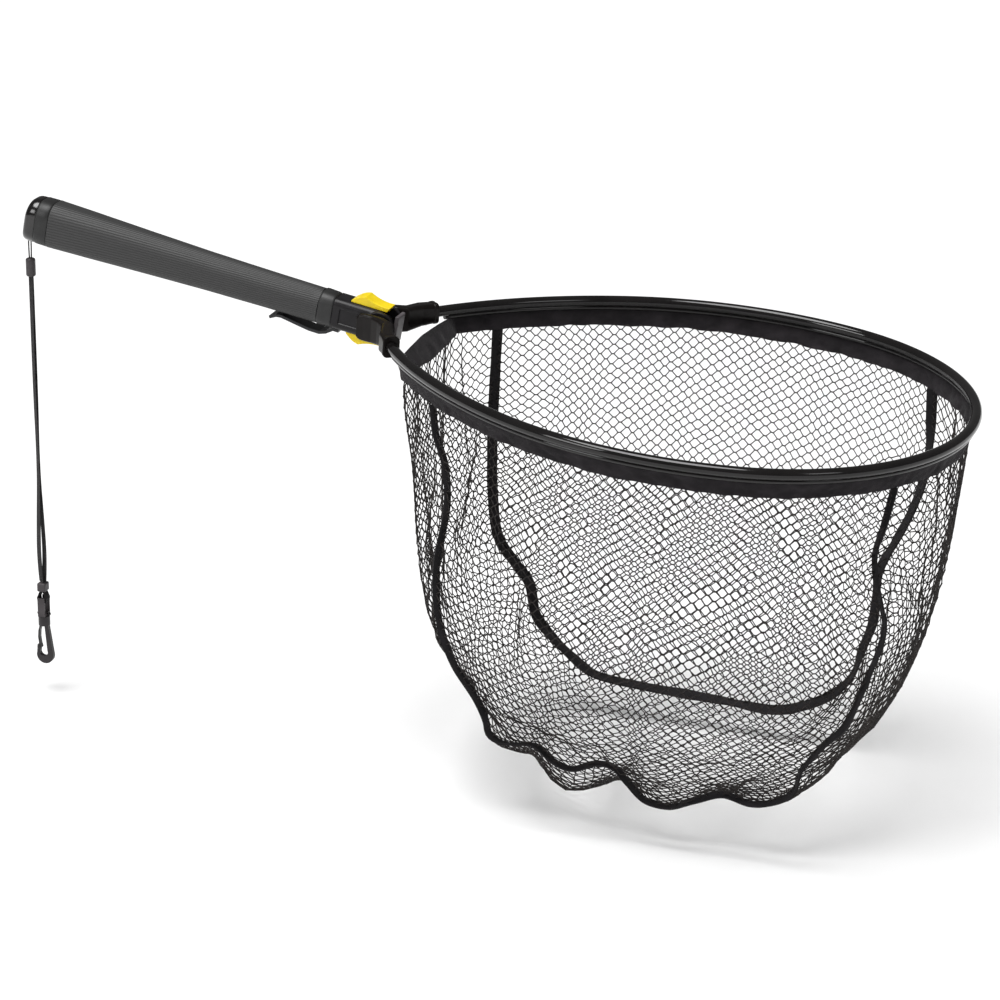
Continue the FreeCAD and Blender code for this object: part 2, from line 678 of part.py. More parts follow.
def snap_hook():
    """Collar with the swivel's bore, a spine, a round bend and the nose."""
    top, bottom, radius = COLLAR
    collar = rod(radius, (0, 0, bottom), (0, 0, top))
    collar = collar.cut(rod(2.0 + RUNNING, (0, 0, bottom + 2), (0, 0, top)))

    def at(x, down):
        return Vector(x, 0, bottom - down)
    edges = [
        Part.makeLine(at(4.6, 0), at(8.8, 28.9)),
        Part.Arc(at(8.8, 28.9), at(0.6, bottom - HOOK_BOTTOM), at(-7.7, 27.8)).toShape(),
        Part.makeLine(at(-7.7, 27.8), at(-7.3, 21.1)),
        Part.Arc(at(-7.3, 21.1), at(-6.2, 20.1), at(-5.1, 21.1)).toShape(),
        Part.makeLine(at(-5.1, 21.1), at(-4.6, 26.2)),
        Part.Arc(at(-4.6, 26.2), at(-0.6, 31.7), at(3.0, 26.2)).toShape(),
        Part.makeLine(at(3.0, 26.2), at(0.8, 0)),
        Part.makeLine(at(0.8, 0), at(4.6, 0)),
    ]
    body = outline_solid(edges, HOOK_HALF_T)
    root = box(-4.4, 4.4, -HOOK_HALF_T, HOOK_HALF_T, bottom, bottom + 1)
    return collar.fuse(body).fuse(root).removeSplitter()


def hook_gate():
    """Thin sprung tongue from the collar down to the inside of the nose."""
    bottom = COLLAR[1]
    bend = [(-3.4, 0.3), (-5.0, 6.4), (-5.5, 12.8), (-4.7, 19.3), (-3.6, 23.6)]
    return strip([(x, bottom - down) for x, down in bend], 1.5, HOOK_HALF_T)


HANDLE_NODES = {
    "handle_tube": handle_tube, "grip_sleeve": grip_sleeve, "rear_collar": rear_collar,
    "front_collar": front_collar, "butt_cap": butt_cap, "tie_pin": tie_pin,
    "hinge_housing": hinge_housing, "front_plate": front_plate, "belt_clip": belt_clip,
    "clip_screws": clip_screws, "lock_tongue": lock_tongue, "slider_pin": slider_pin,
    "lock_spring": lock_spring, "friction_washers": friction_washers,
}
HEAD_NODES = {
    "hub_drum": hub_drum, "hinge_axle": hinge_axle, "hoop_frame": hoop_frame,
    "rim_bead": rim_bead, "rim_band": rim_band, "socket_screws": socket_screws,
}
LANYARD_NODES = {
    "lanyard_cord": lanyard_cord, "lanyard_barrel": lanyard_barrel,
    "lanyard_crimp": lanyard_crimp, "ribbon_eye": ribbon_eye, "swivel_yoke": swivel_yoke,
    "swivel_pin": swivel_pin, "snap_hook": snap_hook, "hook_gate": hook_gate,
}

for node, make in HANDLE_NODES.items():
    save(node, on_handle(make()))
save("slider_top", on_handle(slider(1)))
save("slider_bottom", on_handle(slider(-1)))
for node, make in HEAD_NODES.items():
    save(node, on_head(make()))
save("arm_near", on_head(yoke_arm(-1)))
save("arm_far", on_head(yoke_arm(1)))
for node, shape in bag_nodes().items():
    save(node, on_head(shape))
for node, make in LANYARD_NODES.items():
    save(node, on_lanyard(make()))
save("ribbon_leg_front", on_lanyard(ribbon_leg(False)))
save("ribbon_leg_back", on_lanyard(ribbon_leg(True)))
print("hinge", HINGE, "tie", TIE)
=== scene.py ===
import bmesh
import bpy
import json
import math
from bpy.props import FloatProperty, FloatVectorProperty, IntProperty, PointerProperty
from mathutils import Matrix, Vector, noise
from mathutils.bvhtree import BVHTree
from mathutils.geometry import barycentric_transform


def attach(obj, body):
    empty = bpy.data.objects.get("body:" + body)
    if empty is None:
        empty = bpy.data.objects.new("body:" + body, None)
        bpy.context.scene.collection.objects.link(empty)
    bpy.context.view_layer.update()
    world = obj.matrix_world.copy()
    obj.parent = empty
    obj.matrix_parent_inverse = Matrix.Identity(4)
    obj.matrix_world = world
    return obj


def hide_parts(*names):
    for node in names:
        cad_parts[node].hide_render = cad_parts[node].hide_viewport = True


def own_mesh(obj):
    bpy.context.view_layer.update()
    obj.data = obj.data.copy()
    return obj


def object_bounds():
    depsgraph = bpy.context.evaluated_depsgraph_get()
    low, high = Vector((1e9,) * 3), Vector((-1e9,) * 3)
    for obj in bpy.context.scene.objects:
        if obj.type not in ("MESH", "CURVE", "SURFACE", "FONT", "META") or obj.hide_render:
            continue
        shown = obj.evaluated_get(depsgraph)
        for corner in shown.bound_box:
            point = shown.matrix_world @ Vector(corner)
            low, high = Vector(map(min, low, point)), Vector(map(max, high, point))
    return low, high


bl_info = {
    "name": "Folding Landing Net",
    "version": (1, 0, 0),
    "blender": (4, 5, 0),
    "location": "View3D > Sidebar > Landing Net",
    "description": "Builds the grip, hinge, hoop, mesh bag and lanyard of a folding landing net",
    "category": "Object",
}

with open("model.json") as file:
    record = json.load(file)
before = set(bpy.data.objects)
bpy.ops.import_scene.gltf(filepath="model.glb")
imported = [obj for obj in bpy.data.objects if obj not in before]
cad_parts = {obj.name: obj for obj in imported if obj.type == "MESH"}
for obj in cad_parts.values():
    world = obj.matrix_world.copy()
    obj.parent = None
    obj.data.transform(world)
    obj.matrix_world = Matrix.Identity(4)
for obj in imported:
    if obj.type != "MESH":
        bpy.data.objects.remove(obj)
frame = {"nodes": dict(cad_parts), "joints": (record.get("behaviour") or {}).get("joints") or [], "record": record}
CAD_BOX = [list(corner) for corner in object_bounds()]
JOINT_AT = {joint["name"]: Vector(joint["pos_m"]) for joint in frame["joints"] if "pos_m" in joint}
MM = 0.001

# The handle slopes down towards the hoop, and the hoop a little less.
HANDLE_TILT = math.radians(10.7)
HEAD_TILT = math.radians(3.8)
HANDLE = Matrix.Rotation(HANDLE_TILT, 4, "Y")
HEAD = Matrix.Translation(JOINT_AT["head_fold"]) @ Matrix.Rotation(HEAD_TILT, 4, "Y")
HANG = Matrix.Translation(JOINT_AT["lanyard_swing"])

# The handle's stations: place along its axis, width and height, in millimetres.
GRIP_STATIONS = [(-131, 35.3, 43.0), (-96, 34.0, 41.4), (-36, 31.2, 38.2)]
GRIP_STATIONS += [(24, 29.2, 35.2), (84, 28.2, 33.6), (136, 27.6, 32.8)]
CAP_FRONT = -144.2
CAP_END = -156.5
HOUSING_REAR = 150.4
HINGE_U = 195.5

# The hoop's arcs, from the tip round to the socket: radius, and the polar angle where each ends.
TIP_X = 539.0
HOOP_ARCS = [(204.0, 75.2), (304.0, 117.0), (415.0, 142.9)]
CHANNEL_Z = -6.4

GROOVES = 51
GROOVE_DEPTH = 0.3
GROOVE_TURN = 0.0005


# Placing and joining


def settle(piece, place):
    """Bakes a place into the mesh, so that the object itself stays at the origin."""
    piece.data.transform(place)
    piece.matrix_world = Matrix.Identity(4)


def only(piece):
    """Deselects everything, then selects one object and makes it active."""
    for other in bpy.context.selected_objects:
        other.select_set(False)
    piece.select_set(True)
    bpy.context.view_layer.objects.active = piece


def edit(piece):
    only(piece)
    bpy.ops.object.mode_set(mode="EDIT")


def leave():
    bpy.ops.object.mode_set(mode="OBJECT")


def pick(piece, test, kind="faces"):
    """In edit mode, selects the faces, edges or vertices whose middle passes the test."""
    bpy.ops.mesh.select_mode(type={"faces": "FACE", "edges": "EDGE", "verts": "VERT"}[kind])
    bpy.ops.mesh.select_all(action="DESELECT")
    shape = bmesh.from_edit_mesh(piece.data)
    for element in getattr(shape, kind):
        if kind == "verts":
            middle = element.co
        else:
            middle = sum((v.co for v in element.verts), Vector()) / len(element.verts)
        if test(middle):
            element.select_set(True)
    bmesh.update_edit_mesh(piece.data)


def outwards():
    bpy.ops.mesh.select_mode(type="FACE")
    bpy.ops.mesh.select_all(action="SELECT")
    bpy.ops.mesh.normals_make_consistent(inside=False)


def apply(piece, kind, **settings):
    """Adds one modifier and applies it."""
    only(piece)
    modifier = piece.modifiers.new(kind.title(), kind)
    for name, value in settings.items():
        setattr(modifier, name, value)
    bpy.ops.object.modifier_apply(modifier=modifier.name)


def smooth(piece, angle=40):
    only(piece)
    bpy.ops.object.shade_smooth_by_angle(angle=math.radians(angle))


def finish_piece(piece, body, material, slot, *nodes):
    piece.data.materials.clear()
    piece.data.materials.append(material)
    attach(piece, body)
    if nodes:
        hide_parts(*nodes)


def new_mesh(name, points, faces):
    mesh = bpy.data.meshes.new(name)
    mesh.from_pydata(points, [], faces)
    mesh.update()
    piece = bpy.data.objects.new(name, mesh)
    bpy.context.scene.collection.objects.link(piece)
    return piece


def moulded(node, name, voxel, rounding, material, slot):
    """A copy of a CAD node with every edge softened, as a moulding has."""
    source = frame["nodes"][node]
    piece = bpy.data.objects.new(name, source.data.copy())
    bpy.context.scene.collection.objects.link(piece)
    edit(piece)
    bpy.ops.mesh.select_all(action="SELECT")
    bpy.ops.mesh.remove_doubles(threshold=1e-5)
    leave()
    apply(piece, "REMESH", mode="VOXEL", voxel_size=voxel)
    apply(piece, "SMOOTH", factor=0.5, iterations=rounding)
    for polygon in piece.data.polygons:
        polygon.use_smooth = True
    body = [b for b, members in frame["record"]["behaviour"]["bodies"].items() if node in members][0]
    finish_piece(piece, body, material, slot, node)
    return piece


def rounded_rod(name, stations, corner, steps=9):
    """A rounded rectangle extruded along X from station to station, in millimetres."""
    u, width, height = stations[0]
    bpy.ops.mesh.primitive_plane_add(size=MM, location=(0, 0, 0), rotation=(0, math.pi / 2, 0))
    piece = bpy.context.object
    piece.name = piece.data.name = name
    bpy.ops.object.transform_apply(location=True, rotation=True, scale=True)
    edit(piece)
    bpy.ops.mesh.select_all(action="SELECT")
    bpy.ops.transform.resize(value=(1, width, height), center_override=(0, 0, 0))
    bpy.ops.transform.translate(value=(u * MM, 0, 0))
    bpy.ops.mesh.bevel(offset=corner * MM, segments=steps, affect="VERTICES")
    for after in stations[1:]:
        bpy.ops.mesh.extrude_region_move(TRANSFORM_OT_translate={"value": ((after[0] - u) * MM, 0, 0)})
        scale = (1, after[1] / width, after[2] / height)
        bpy.ops.transform.resize(value=scale, center_override=(after[0] * MM, 0, 0))
        u, width, height = after
    outwards()
    leave()
    return piece


def station_at(u):
    """The grip's width and height at a place along it."""
    for (a, wa, ha), (b, wb, hb) in zip(GRIP_STATIONS, GRIP_STATIONS[1:]):
        if u <= b:
            share = (u - a) / (b - a)
            return wa + (wb - wa) * share, ha + (hb - ha) * share
    return GRIP_STATIONS[-1][1:]


def rounded_point(width, height, corner, share):
    """A point on a rounded rectangle, its share of the way round, and its outward direction."""
    half_w, half_h, arc = width / 2 - corner, height / 2 - corner, corner * math.pi / 2
    rest = share * (4 * half_w + 4 * half_h + 4 * arc)
    for quarter in range(4):
        out, along = (half_w, half_h) if quarter % 2 == 0 else (half_h, half_w)
        angle, across, up = 0.0, out + corner, rest - along
        if rest > 2 * along:
            angle = min((rest - 2 * along) / corner, math.pi / 2)
            across, up = out + corner * math.cos(angle), along + corner * math.sin(angle)
        if rest <= 2 * along + arc:
            break
        rest -= 2 * along + arc
    turn = Matrix.Rotation(quarter * math.pi / 2, 2)
    return turn @ Vector((across, up)), turn @ Vector((math.cos(angle), math.sin(angle)))


# Finishes


def shader(name, colour, roughness, sockets=None):
    """A new material whose plain values sit on the shader's own sockets."""
    finish = bpy.data.materials.new(name)
    finish.use_nodes = True
    values = {"Base Color": (*colour, 1), "Roughness": roughness}
    values.update(sockets or {})
    for socket, value in values.items():
        finish.node_tree.nodes["Principled BSDF"].inputs[socket].default_value = value
    return finish


def add(finish, kind, settings=None, **inputs):
    """One node; an input given as a socket is linked, and any other is a value."""
    made = finish.node_tree.nodes.new(kind)
    for key, value in (settings or {}).items():
        setattr(made, key, value)
    for socket, value in inputs.items():
        target = made.inputs[socket.replace("_", " ")]
        if isinstance(value, bpy.types.NodeSocket):
            finish.node_tree.links.new(value, target)
        else:
            target.default_value = value
    return made


def coords(finish, source="Object", scale=(1, 1, 1)):
    start = add(finish, "ShaderNodeTexCoord")
    return add(finish, "ShaderNodeMapping", Vector=start.outputs[source], Scale=scale).outputs["Vector"]


def into(finish, output, socket):
    shader_node = finish.node_tree.nodes["Principled BSDF"]
    finish.node_tree.links.new(output, shader_node.inputs[socket])


def patches(finish, vector, scale, detail=4.0):
    return add(finish, "ShaderNodeTexNoise", Vector=vector, Scale=scale, Detail=detail).outputs["Fac"]


def shades(finish, factor, dark, light, low=0.3, high=0.7):
    """Turns a pattern into two shades of the base colour."""
    ramp = add(finish, "ShaderNodeValToRGB", Fac=factor)
    ramp.color_ramp.elements[0].position = low
    ramp.color_ramp.elements[1].position = high
    ramp.color_ramp.elements[0].color = (*dark, 1)
    ramp.color_ramp.elements[1].color = (*light, 1)
    into(finish, ramp.outputs["Color"], "Base Color")
    return ramp


def uneven_gloss(finish, factor, low, high):
    spread = add(finish, "ShaderNodeMapRange", Value=factor, To_Min=low, To_Max=high)
    into(finish, spread.outputs["Result"], "Roughness")


def relief(finish, height, strength, distance):
    bump = add(finish, "ShaderNodeBump", Height=height, Strength=strength, Distance=distance)
    into(finish, bump.outputs["Normal"], "Normal")


def plus(finish, first, second, share):
    """The first pattern with a share of the second added."""
    part = add(finish, "ShaderNodeMath", {"operation": "MULTIPLY"})
    finish.node_tree.links.new(second, part.inputs[0])
    part.inputs[1].default_value = share
    whole = add(finish, "ShaderNodeMath", {"operation": "ADD"})
    finish.node_tree.links.new(first, whole.inputs[0])
    finish.node_tree.links.new(part.outputs[0], whole.inputs[1])
    return whole.outputs[0]


def moulded_plastic(name, dark, light, roughness, sockets=None):
    finish = shader(name, light, roughness, {"Specular IOR Level": 0.32, **(sockets or {})})
    space = coords(finish)
    cloud = patches(finish, space, 90)
    shades(finish, cloud, dark, light)
    uneven_gloss(finish, cloud, roughness - 0.08, roughness + 0.1)
    relief(finish, patches(finish, space, 2600, 2.0), 0.12, 0.0003)
    return finish


def woven(name, dark, light, thread, sheen=0.06):
    """Plain weave on the piece's own map, whose units are metres."""
    finish = shader(name, light, 0.85, {"Sheen Weight": sheen, "Sheen Roughness": 0.4, "Specular IOR Level": 0.2})
    space = coords(finish, "UV")
    across = add(finish, "ShaderNodeTexWave", {"bands_direction": "X"}, Vector=space, Scale=1 / thread)
    along = add(finish, "ShaderNodeTexWave", {"bands_direction": "Y"}, Vector=space, Scale=1 / thread)
    weave = plus(finish, across.outputs["Fac"], along.outputs["Fac"], 1.0)
    cloud = patches(finish, coords(finish), 60)
    shades(finish, cloud, dark, light)
    relief(finish, weave, 0.35, 0.0002)
    return finish


def grooved_rubber(colour):
    # The darker shade is partly painted shade at the bottom of each groove, and partly random mottle.
    dark = [0.55 * value for value in colour]
    finish = shader("Grooved grip rubber", colour, 0.55, {"Specular IOR Level": 0.4})
    space = coords(finish, "UV")
    # Painted shade: this wave is darkest at the bottom of each of the grip's grooves, so the colour darkens there.
    painted_groove_shade = add(finish, "ShaderNodeTexWave", {"bands_direction": "X"}, Vector=space, Scale=math.tau * GROOVES / 20)
    cloud = patches(finish, coords(finish), 700)
    # The painted groove shade mixed with a random mottle; it sets both the colour and the gloss.
    pattern = plus(finish, painted_groove_shade.outputs["Fac"], cloud, 0.25)
    shades(finish, pattern, dark, colour, 0.1, 0.6)
    uneven_gloss(finish, pattern, 0.62, 0.5)
    relief(finish, cloud, 0.25, 0.0003)
    return finish


def gloss_rail(colour):
    finish = shader("Gloss black rail", colour, 0.16, {"Specular IOR Level": 0.3, "Coat Weight": 0.12,
                                                       "Coat Roughness": 0.06})
    space = coords(finish)
    cloud = patches(finish, space, 25)
    shades(finish, cloud, colour, [value * 1.9 for value in colour])
    uneven_gloss(finish, cloud, 0.05, 0.11)
    relief(finish, patches(finish, space, 1400, 1.0), 0.03, 0.0002)
    return finish


def brushed(name, dark, light, roughness):
    finish = shader(name, light, roughness, {"Metallic": 1.0})
    space = coords(finish, "Object", (40, 400, 400))
    lines = patches(finish, space, 8)
    shades(finish, lines, dark, light)
    uneven_gloss(finish, lines, roughness - 0.08, roughness + 0.12)
    relief(finish, lines, 0.1, 0.0001)
    return finish


def mesh_thread(colour):
    finish = shader("Knotless mesh thread", colour, 0.6, {"Specular IOR Level": 0.25})
    space = coords(finish)
    cloud = patches(finish, space, 45)
    shades(finish, cloud, [0.5 * value for value in colour], [1.7 * value for value in colour])
    relief(finish, patches(finish, space, 1800, 2.0), 0.25, 0.0002)
    return finish


def braided(name, dark, light):
    finish = shader(name, light, 0.7, {"Sheen Weight": 0.3})
    space = coords(finish)
    braid = add(finish, "ShaderNodeTexWave", {"bands_direction": "DIAGONAL"}, Vector=space, Scale=420.0, Distortion=1.0)
    shades(finish, braid.outputs["Fac"], dark, light)
    relief(finish, braid.outputs["Fac"], 0.4, 0.0003)
    return finish


def finishes():
    """Makes every material once, and returns them by name."""
    if FINISHES:
        return FINISHES
    tones = bpy.context.scene.landing_net_tones
    FINISHES["grip"] = grooved_rubber(tones.grip)
    FINISHES["collar"] = moulded_plastic("Collar plastic", (0.016, 0.016, 0.016), (0.026, 0.026, 0.026), 0.42)
    FINISHES["cap"] = moulded_plastic("Polished cap", (0.004, 0.0035, 0.0035), (0.008, 0.007, 0.007), 0.16,
                                      {"Coat Weight": 0.5, "Coat Roughness": 0.08})
    FINISHES["housing"] = moulded_plastic("Housing plastic", (0.008, 0.0072, 0.008), (0.013, 0.012, 0.0135), 0.32,
                                          {"Specular IOR Level": 0.2})
    FINISHES["arm"] = moulded_plastic("Arm plastic", (0.006, 0.0048, 0.0045), (0.01, 0.0082, 0.0075), 0.3,
                                      {"Specular IOR Level": 0.16})
    FINISHES["plate"] = moulded_plastic("Cover plastic", (0.07, 0.062, 0.066), (0.11, 0.1, 0.105), 0.4)
    FINISHES["slider"] = moulded_plastic("Yellow slider plastic", [0.82 * value for value in tones.slider],
                                         tones.slider, 0.34, {"Subsurface Weight": 0.05})
    FINISHES["clip"] = moulded_plastic("Clip plastic", (0.012, 0.012, 0.013), (0.022, 0.022, 0.024), 0.38)
    FINISHES["steel"] = brushed("Bright steel", (0.4, 0.4, 0.41), (0.62, 0.62, 0.63), 0.28)
    FINISHES["tube"] = brushed("Drawn aluminium", (0.5, 0.5, 0.52), (0.68, 0.68, 0.7), 0.35)
    FINISHES["rail"] = gloss_rail(tones.rail)
    FINISHES["band"] = woven("Rim band cloth", (0.008, 0.0068, 0.008), (0.02, 0.017, 0.0195), 0.0006)
    FINISHES["tape"] = woven("Seam tape cloth", (0.006, 0.0055, 0.006), (0.014, 0.0125, 0.014), 0.0008)
    FINISHES["netting"] = mesh_thread(tones.netting)
    FINISHES["cord"] = braided("Braided cord", (0.004, 0.004, 0.004), (0.016, 0.015, 0.015))
    FINISHES["ribbon"] = woven("Lanyard ribbon", (0.006, 0.0055, 0.006), (0.014, 0.012, 0.013), 0.0009)
    FINISHES["fitting"] = moulded_plastic("Grey fitting plastic", (0.035, 0.03, 0.032), (0.06, 0.053, 0.056), 0.42)
    FINISHES["hook"] = moulded_plastic("Hook plastic", (0.016, 0.0135, 0.015), (0.028, 0.0245, 0.027), 0.38)
    FINISHES["dark"] = moulded_plastic("Dark plastic", (0.006, 0.0055, 0.006), (0.014, 0.013, 0.014), 0.35)
    return FINISHES


FINISHES = {}


class LandingNetTones(bpy.types.PropertyGroup):
    """Colours that a maker would change."""
    grip: FloatVectorProperty(name="Grip", description="Colour of the grooved grip", subtype="COLOR", size=3,
                              default=(0.036, 0.036, 0.036), min=0, max=1)
    slider: FloatVectorProperty(name="Sliders", description="Colour of the two lock sliders", subtype="COLOR", size=3,
                                default=(0.95, 0.7, 0.015), min=0, max=1)
    rail: FloatVectorProperty(name="Hoop", description="Colour of the gloss hoop rail", subtype="COLOR", size=3,
                              default=(0.006, 0.0055, 0.0055), min=0, max=1)
    netting: FloatVectorProperty(name="Netting", description="Colour of the mesh thread", subtype="COLOR", size=3,
                                 default=(0.016, 0.013, 0.012), min=0, max=1)


class LandingNetSizes(bpy.types.PropertyGroup):
    """Sizes that a maker would change."""
    mesh_pitch: FloatProperty(name="Mesh pitch", description="Distance between mesh columns in one row",
                              default=0.0125, min=0.006, max=0.03, unit="LENGTH")
    mesh_row: FloatProperty(name="Mesh row", description="Distance between rows that line up",
                            default=0.0096, min=0.005, max=0.03, unit="LENGTH")
    thread: FloatProperty(name="Thread", description="Thickness of the mesh thread", default=0.0011, min=0.0004,
                          max=0.003, unit="LENGTH")
    slack: FloatProperty(name="Slack", description="Share by which the netting is longer than the space it fills",
                         default=0.015, min=0.0, max=0.2)
    settle_frames: IntProperty(name="Settling", description="Frames for which the netting is let down",
                               default=36, min=4, max=120)
    floor_gap: FloatProperty(name="Floor gap", description="Clear height between the net and the floor",
                             default=0.03, min=0.0, max=1.0, unit="LENGTH")


class LANDINGNET_OT_stage(bpy.types.Operator):
    """Sets the pale floor, the soft lights and the camera"""
    bl_idname = "landing_net.stage"
    bl_label = "Stage"

    def execute(self, context):
        sizes = context.scene.landing_net_sizes
        floor_z = CAD_BOX[0][2] - sizes.floor_gap
        bpy.ops.mesh.primitive_plane_add(size=14, location=(0.3, 1.0, floor_z))
        floor = context.object
        floor.name = "floor"
        pale = shader("Pale floor", (0.88, 0.88, 0.88), 0.9)
        shades(pale, patches(pale, coords(pale), 3), (0.86, 0.86, 0.86), (0.9, 0.9, 0.9))
        floor.data.materials.append(pale)
        bpy.ops.object.light_add(type="SUN", location=(0.2, -0.4, 2.5), rotation=(math.radians(14), math.radians(-9), 0))
        context.object.name = "broad_light"
        context.object.data.energy = 3.7
        context.object.data.angle = math.radians(38)
        for name, place, size, power in (("front_light", (-1.5, -2.6, 1.3), 1.2, 30),
                                         ("side_light", (2.6, -1.2, 1.4), 0.7, 5)):
            direction = Vector((0.25, 0, -0.1)) - Vector(place)
            bpy.ops.object.light_add(type="AREA", location=place, rotation=direction.to_track_quat("-Z", "Y").to_euler())
            lamp = context.object
            lamp.name = name
            lamp.data.size = size
            lamp.data.energy = power
        sky = bpy.data.worlds.new("Soft studio light")
        sky.use_nodes = True
        sky.node_tree.nodes["Background"].inputs["Color"].default_value = (1, 1, 1, 1)
        sky.node_tree.nodes["Background"].inputs["Strength"].default_value = 0.12
        context.scene.world = sky
        context.scene.view_settings.view_transform = "Standard"
        right = Vector((0.94239, 0.33448, 0.00379))
        above = Vector((-0.1193, 0.32555, 0.93797))
        lens = bpy.data.cameras.new("camera")
        lens.lens = 144
        lens.sensor_width = 36
        camera = bpy.data.objects.new("camera", lens)
        context.scene.collection.objects.link(camera)
        turn = Matrix((right, above, right.cross(above))).transposed().to_4x4()
        camera.matrix_world = Matrix.Translation((1.4271, -3.1792, 1.0565)) @ turn
        context.scene.camera = camera
        return {"FINISHED"}


# Handle


class LANDINGNET_OT_grip(bpy.types.Operator):
    """Tapered grip with its fine lengthwise grooves"""
    bl_idname = "landing_net.grip"
    bl_label = "Grip"

    def execute(self, context):
        rear, front = GRIP_STATIONS[0][0], GRIP_STATIONS[-1][0]
        around, lengths = GROOVES * 8, 72
        points, faces, marks = [], [], []
        for k in range(-1, lengths + 2):
            u = rear + (front - rear) * min(max(k / lengths, 0), 1)
            width, height = station_at(u)
            shrink = 1.6 if k in (-1, lengths + 1) else 0.0
            depth = GROOVE_DEPTH * min(1.0, (u - rear) / 4, (front - u) / 4)
            for i in range(around):
                phase = i / around + GROOVE_TURN * u
                point, outward = rounded_point(width, height, 13.6, i / around)
                point -= outward * (shrink + depth * (0.5 + 0.5 * math.cos(math.tau * GROOVES * phase)))
                points.append(Vector((u + (0.9 * shrink if k < 0 else -0.9 * shrink), *point)) * MM)
                marks.append(phase)
        for k in range(lengths + 2):
            for i in range(around):
                a, b = k * around + i, k * around + (i + 1) % around
                faces.append((a, b, b + around, a + around))
        faces.append(tuple(range(around - 1, -1, -1)))
        faces.append(tuple(len(points) - around + i for i in range(around)))
        grip = new_mesh("grip", points, faces)
        layer = grip.data.uv_layers.new(name="Wrap")
        for polygon in grip.data.polygons:
            starts = [marks[i] for i in polygon.vertices]
            for loop, mark in zip(polygon.loop_indices, starts):
                layer.data[loop].uv = (mark + (1 if max(starts) - mark > 0.5 else 0), 0)
        edit(grip)
        outwards()
        leave()
        smooth(grip, 60)
        settle(grip, HANDLE)
        finish_piece(grip, "handle", finishes()["grip"], "grip", "grip_sleeve")
        return {"FINISHED"}


class LANDINGNET_OT_collars(bpy.types.Operator):
    """Smooth collars at both ends of the grip, each with a groove beside it"""
    bl_idname = "landing_net.collars"
    bl_label = "Collars"

    def execute(self, context):
        rear = [(-131.2, 33.0, 40.4), (-131.7, 34.4, 42.0), (-132.6, 35.2, 42.9), (-137, 35.1, 42.8)]
        rear += [(-142.6, 34.9, 42.6), (-143.6, 34.5, 42.1), (-144.2, 33.4, 41.0)]
        front = [(136.2, 26.0, 31.0), (136.8, 27.4, 32.4), (138.5, 27.7, 32.7), (148.4, 27.0, 31.6)]
        front += [(149.8, 26.6, 31.1), (150.4, 25.4, 29.8)]
        for name, stations, corner, node in (("rear_band", rear, 13.0, "rear_collar"),
                                             ("front_band", front, 10.0, "front_collar")):
            collar = rounded_rod(name, stations, corner, 12)
            smooth(collar, 50)
            settle(collar, HANDLE)
            finish_piece(collar, "handle", finishes()["collar"], "collar", node)
        return {"FINISHED"}


class LANDINGNET_OT_butt_cap(bpy.types.Operator):
    """Polished domed cap with a slot below for the tie pin"""
    bl_idname = "landing_net.butt_cap"
    bl_label = "Butt cap"

    def execute(self, context):
        stations = [(CAP_FRONT, 33.6, 41.4), (CAP_FRONT - 0.5, 34.4, 42.2)]
        depth = CAP_FRONT - CAP_END
        for i in range(1, 13):
            share = i / 12
            shrink = (1 - share ** 3.2) ** (1 / 2.6) if share < 1 else 0.0
            size = 0.56 + 0.44 * shrink
            stations.append((CAP_FRONT - 0.5 - (depth - 0.5) * share, 34.5 * size, 42.3 * (0.1 + 0.9 * size)))
        cap = rounded_rod("domed_cap", stations, 14.0, 14)
        # The dome is at the top and the sides only: the lower edge runs straight back.
        for vertex in cap.data.vertices:
            share = (CAP_FRONT * MM - vertex.co.x) / (depth * MM)
            size = 0.56 + 0.44 * (1 - min(max(share, 0), 1) ** 3.2) ** (1 / 2.6)
            vertex.co.z -= (1 - 0.1 - 0.9 * size) * 0.78 * 21.1 * MM
        edit(cap)
        pick(cap, lambda p: p.x < (CAP_END + 0.2) * MM)
        bpy.ops.mesh.inset(thickness=0.003)
        leave()
        # The notch for the pin is cut with a box of the notch's own size.
        bpy.ops.mesh.primitive_cube_add(size=1, location=((CAP_END + 1.7) * MM, 0, -19.5 * MM))
        notch = context.object
        notch.scale = (9.4 * MM, 9.0 * MM, 11.0 * MM)
        apply(cap, "BOOLEAN", object=notch, operation="DIFFERENCE", solver="EXACT")
        bpy.data.objects.remove(notch)
        smooth(cap, 30)
        settle(cap, HANDLE)
        finish_piece(cap, "handle", finishes()["cap"], "cap", "butt_cap")
        return {"FINISHED"}


class LANDINGNET_OT_housing(bpy.types.Operator):
    """Hinge housing and cover plate, with softened edges"""
    bl_idname = "landing_net.housing"
    bl_label = "Housing"

    def execute(self, context):
        looks = finishes()
        moulded("hinge_housing", "hinge_block", 0.00045, 5, looks["housing"], "housing")
        moulded("front_plate", "cover_plate", 0.0003, 3, looks["plate"], "plate")
        return {"FINISHED"}


class LANDINGNET_OT_sliders(bpy.types.Operator):
    """The two yellow thumb sliders, ribbed across their slopes"""
    bl_idname = "landing_net.sliders"
    bl_label = "Sliders"

    def execute(self, context):
        for node, name in (("slider_top", "upper_slider"), ("slider_bottom", "lower_slider")):
            moulded(node, name, 0.00028, 5, finishes()["slider"], "slider")
        return {"FINISHED"}


class LANDINGNET_OT_arms(bpy.types.Operator):
    """Yoke arms that hold the hoop's ends"""
    bl_idname = "landing_net.arms"
    bl_label = "Arms"

    def execute(self, context):
        for node, name in (("arm_near", "near_arm"), ("arm_far", "far_arm")):
            moulded(node, name, 0.0004, 6, finishes()["arm"], "housing")
        return {"FINISHED"}


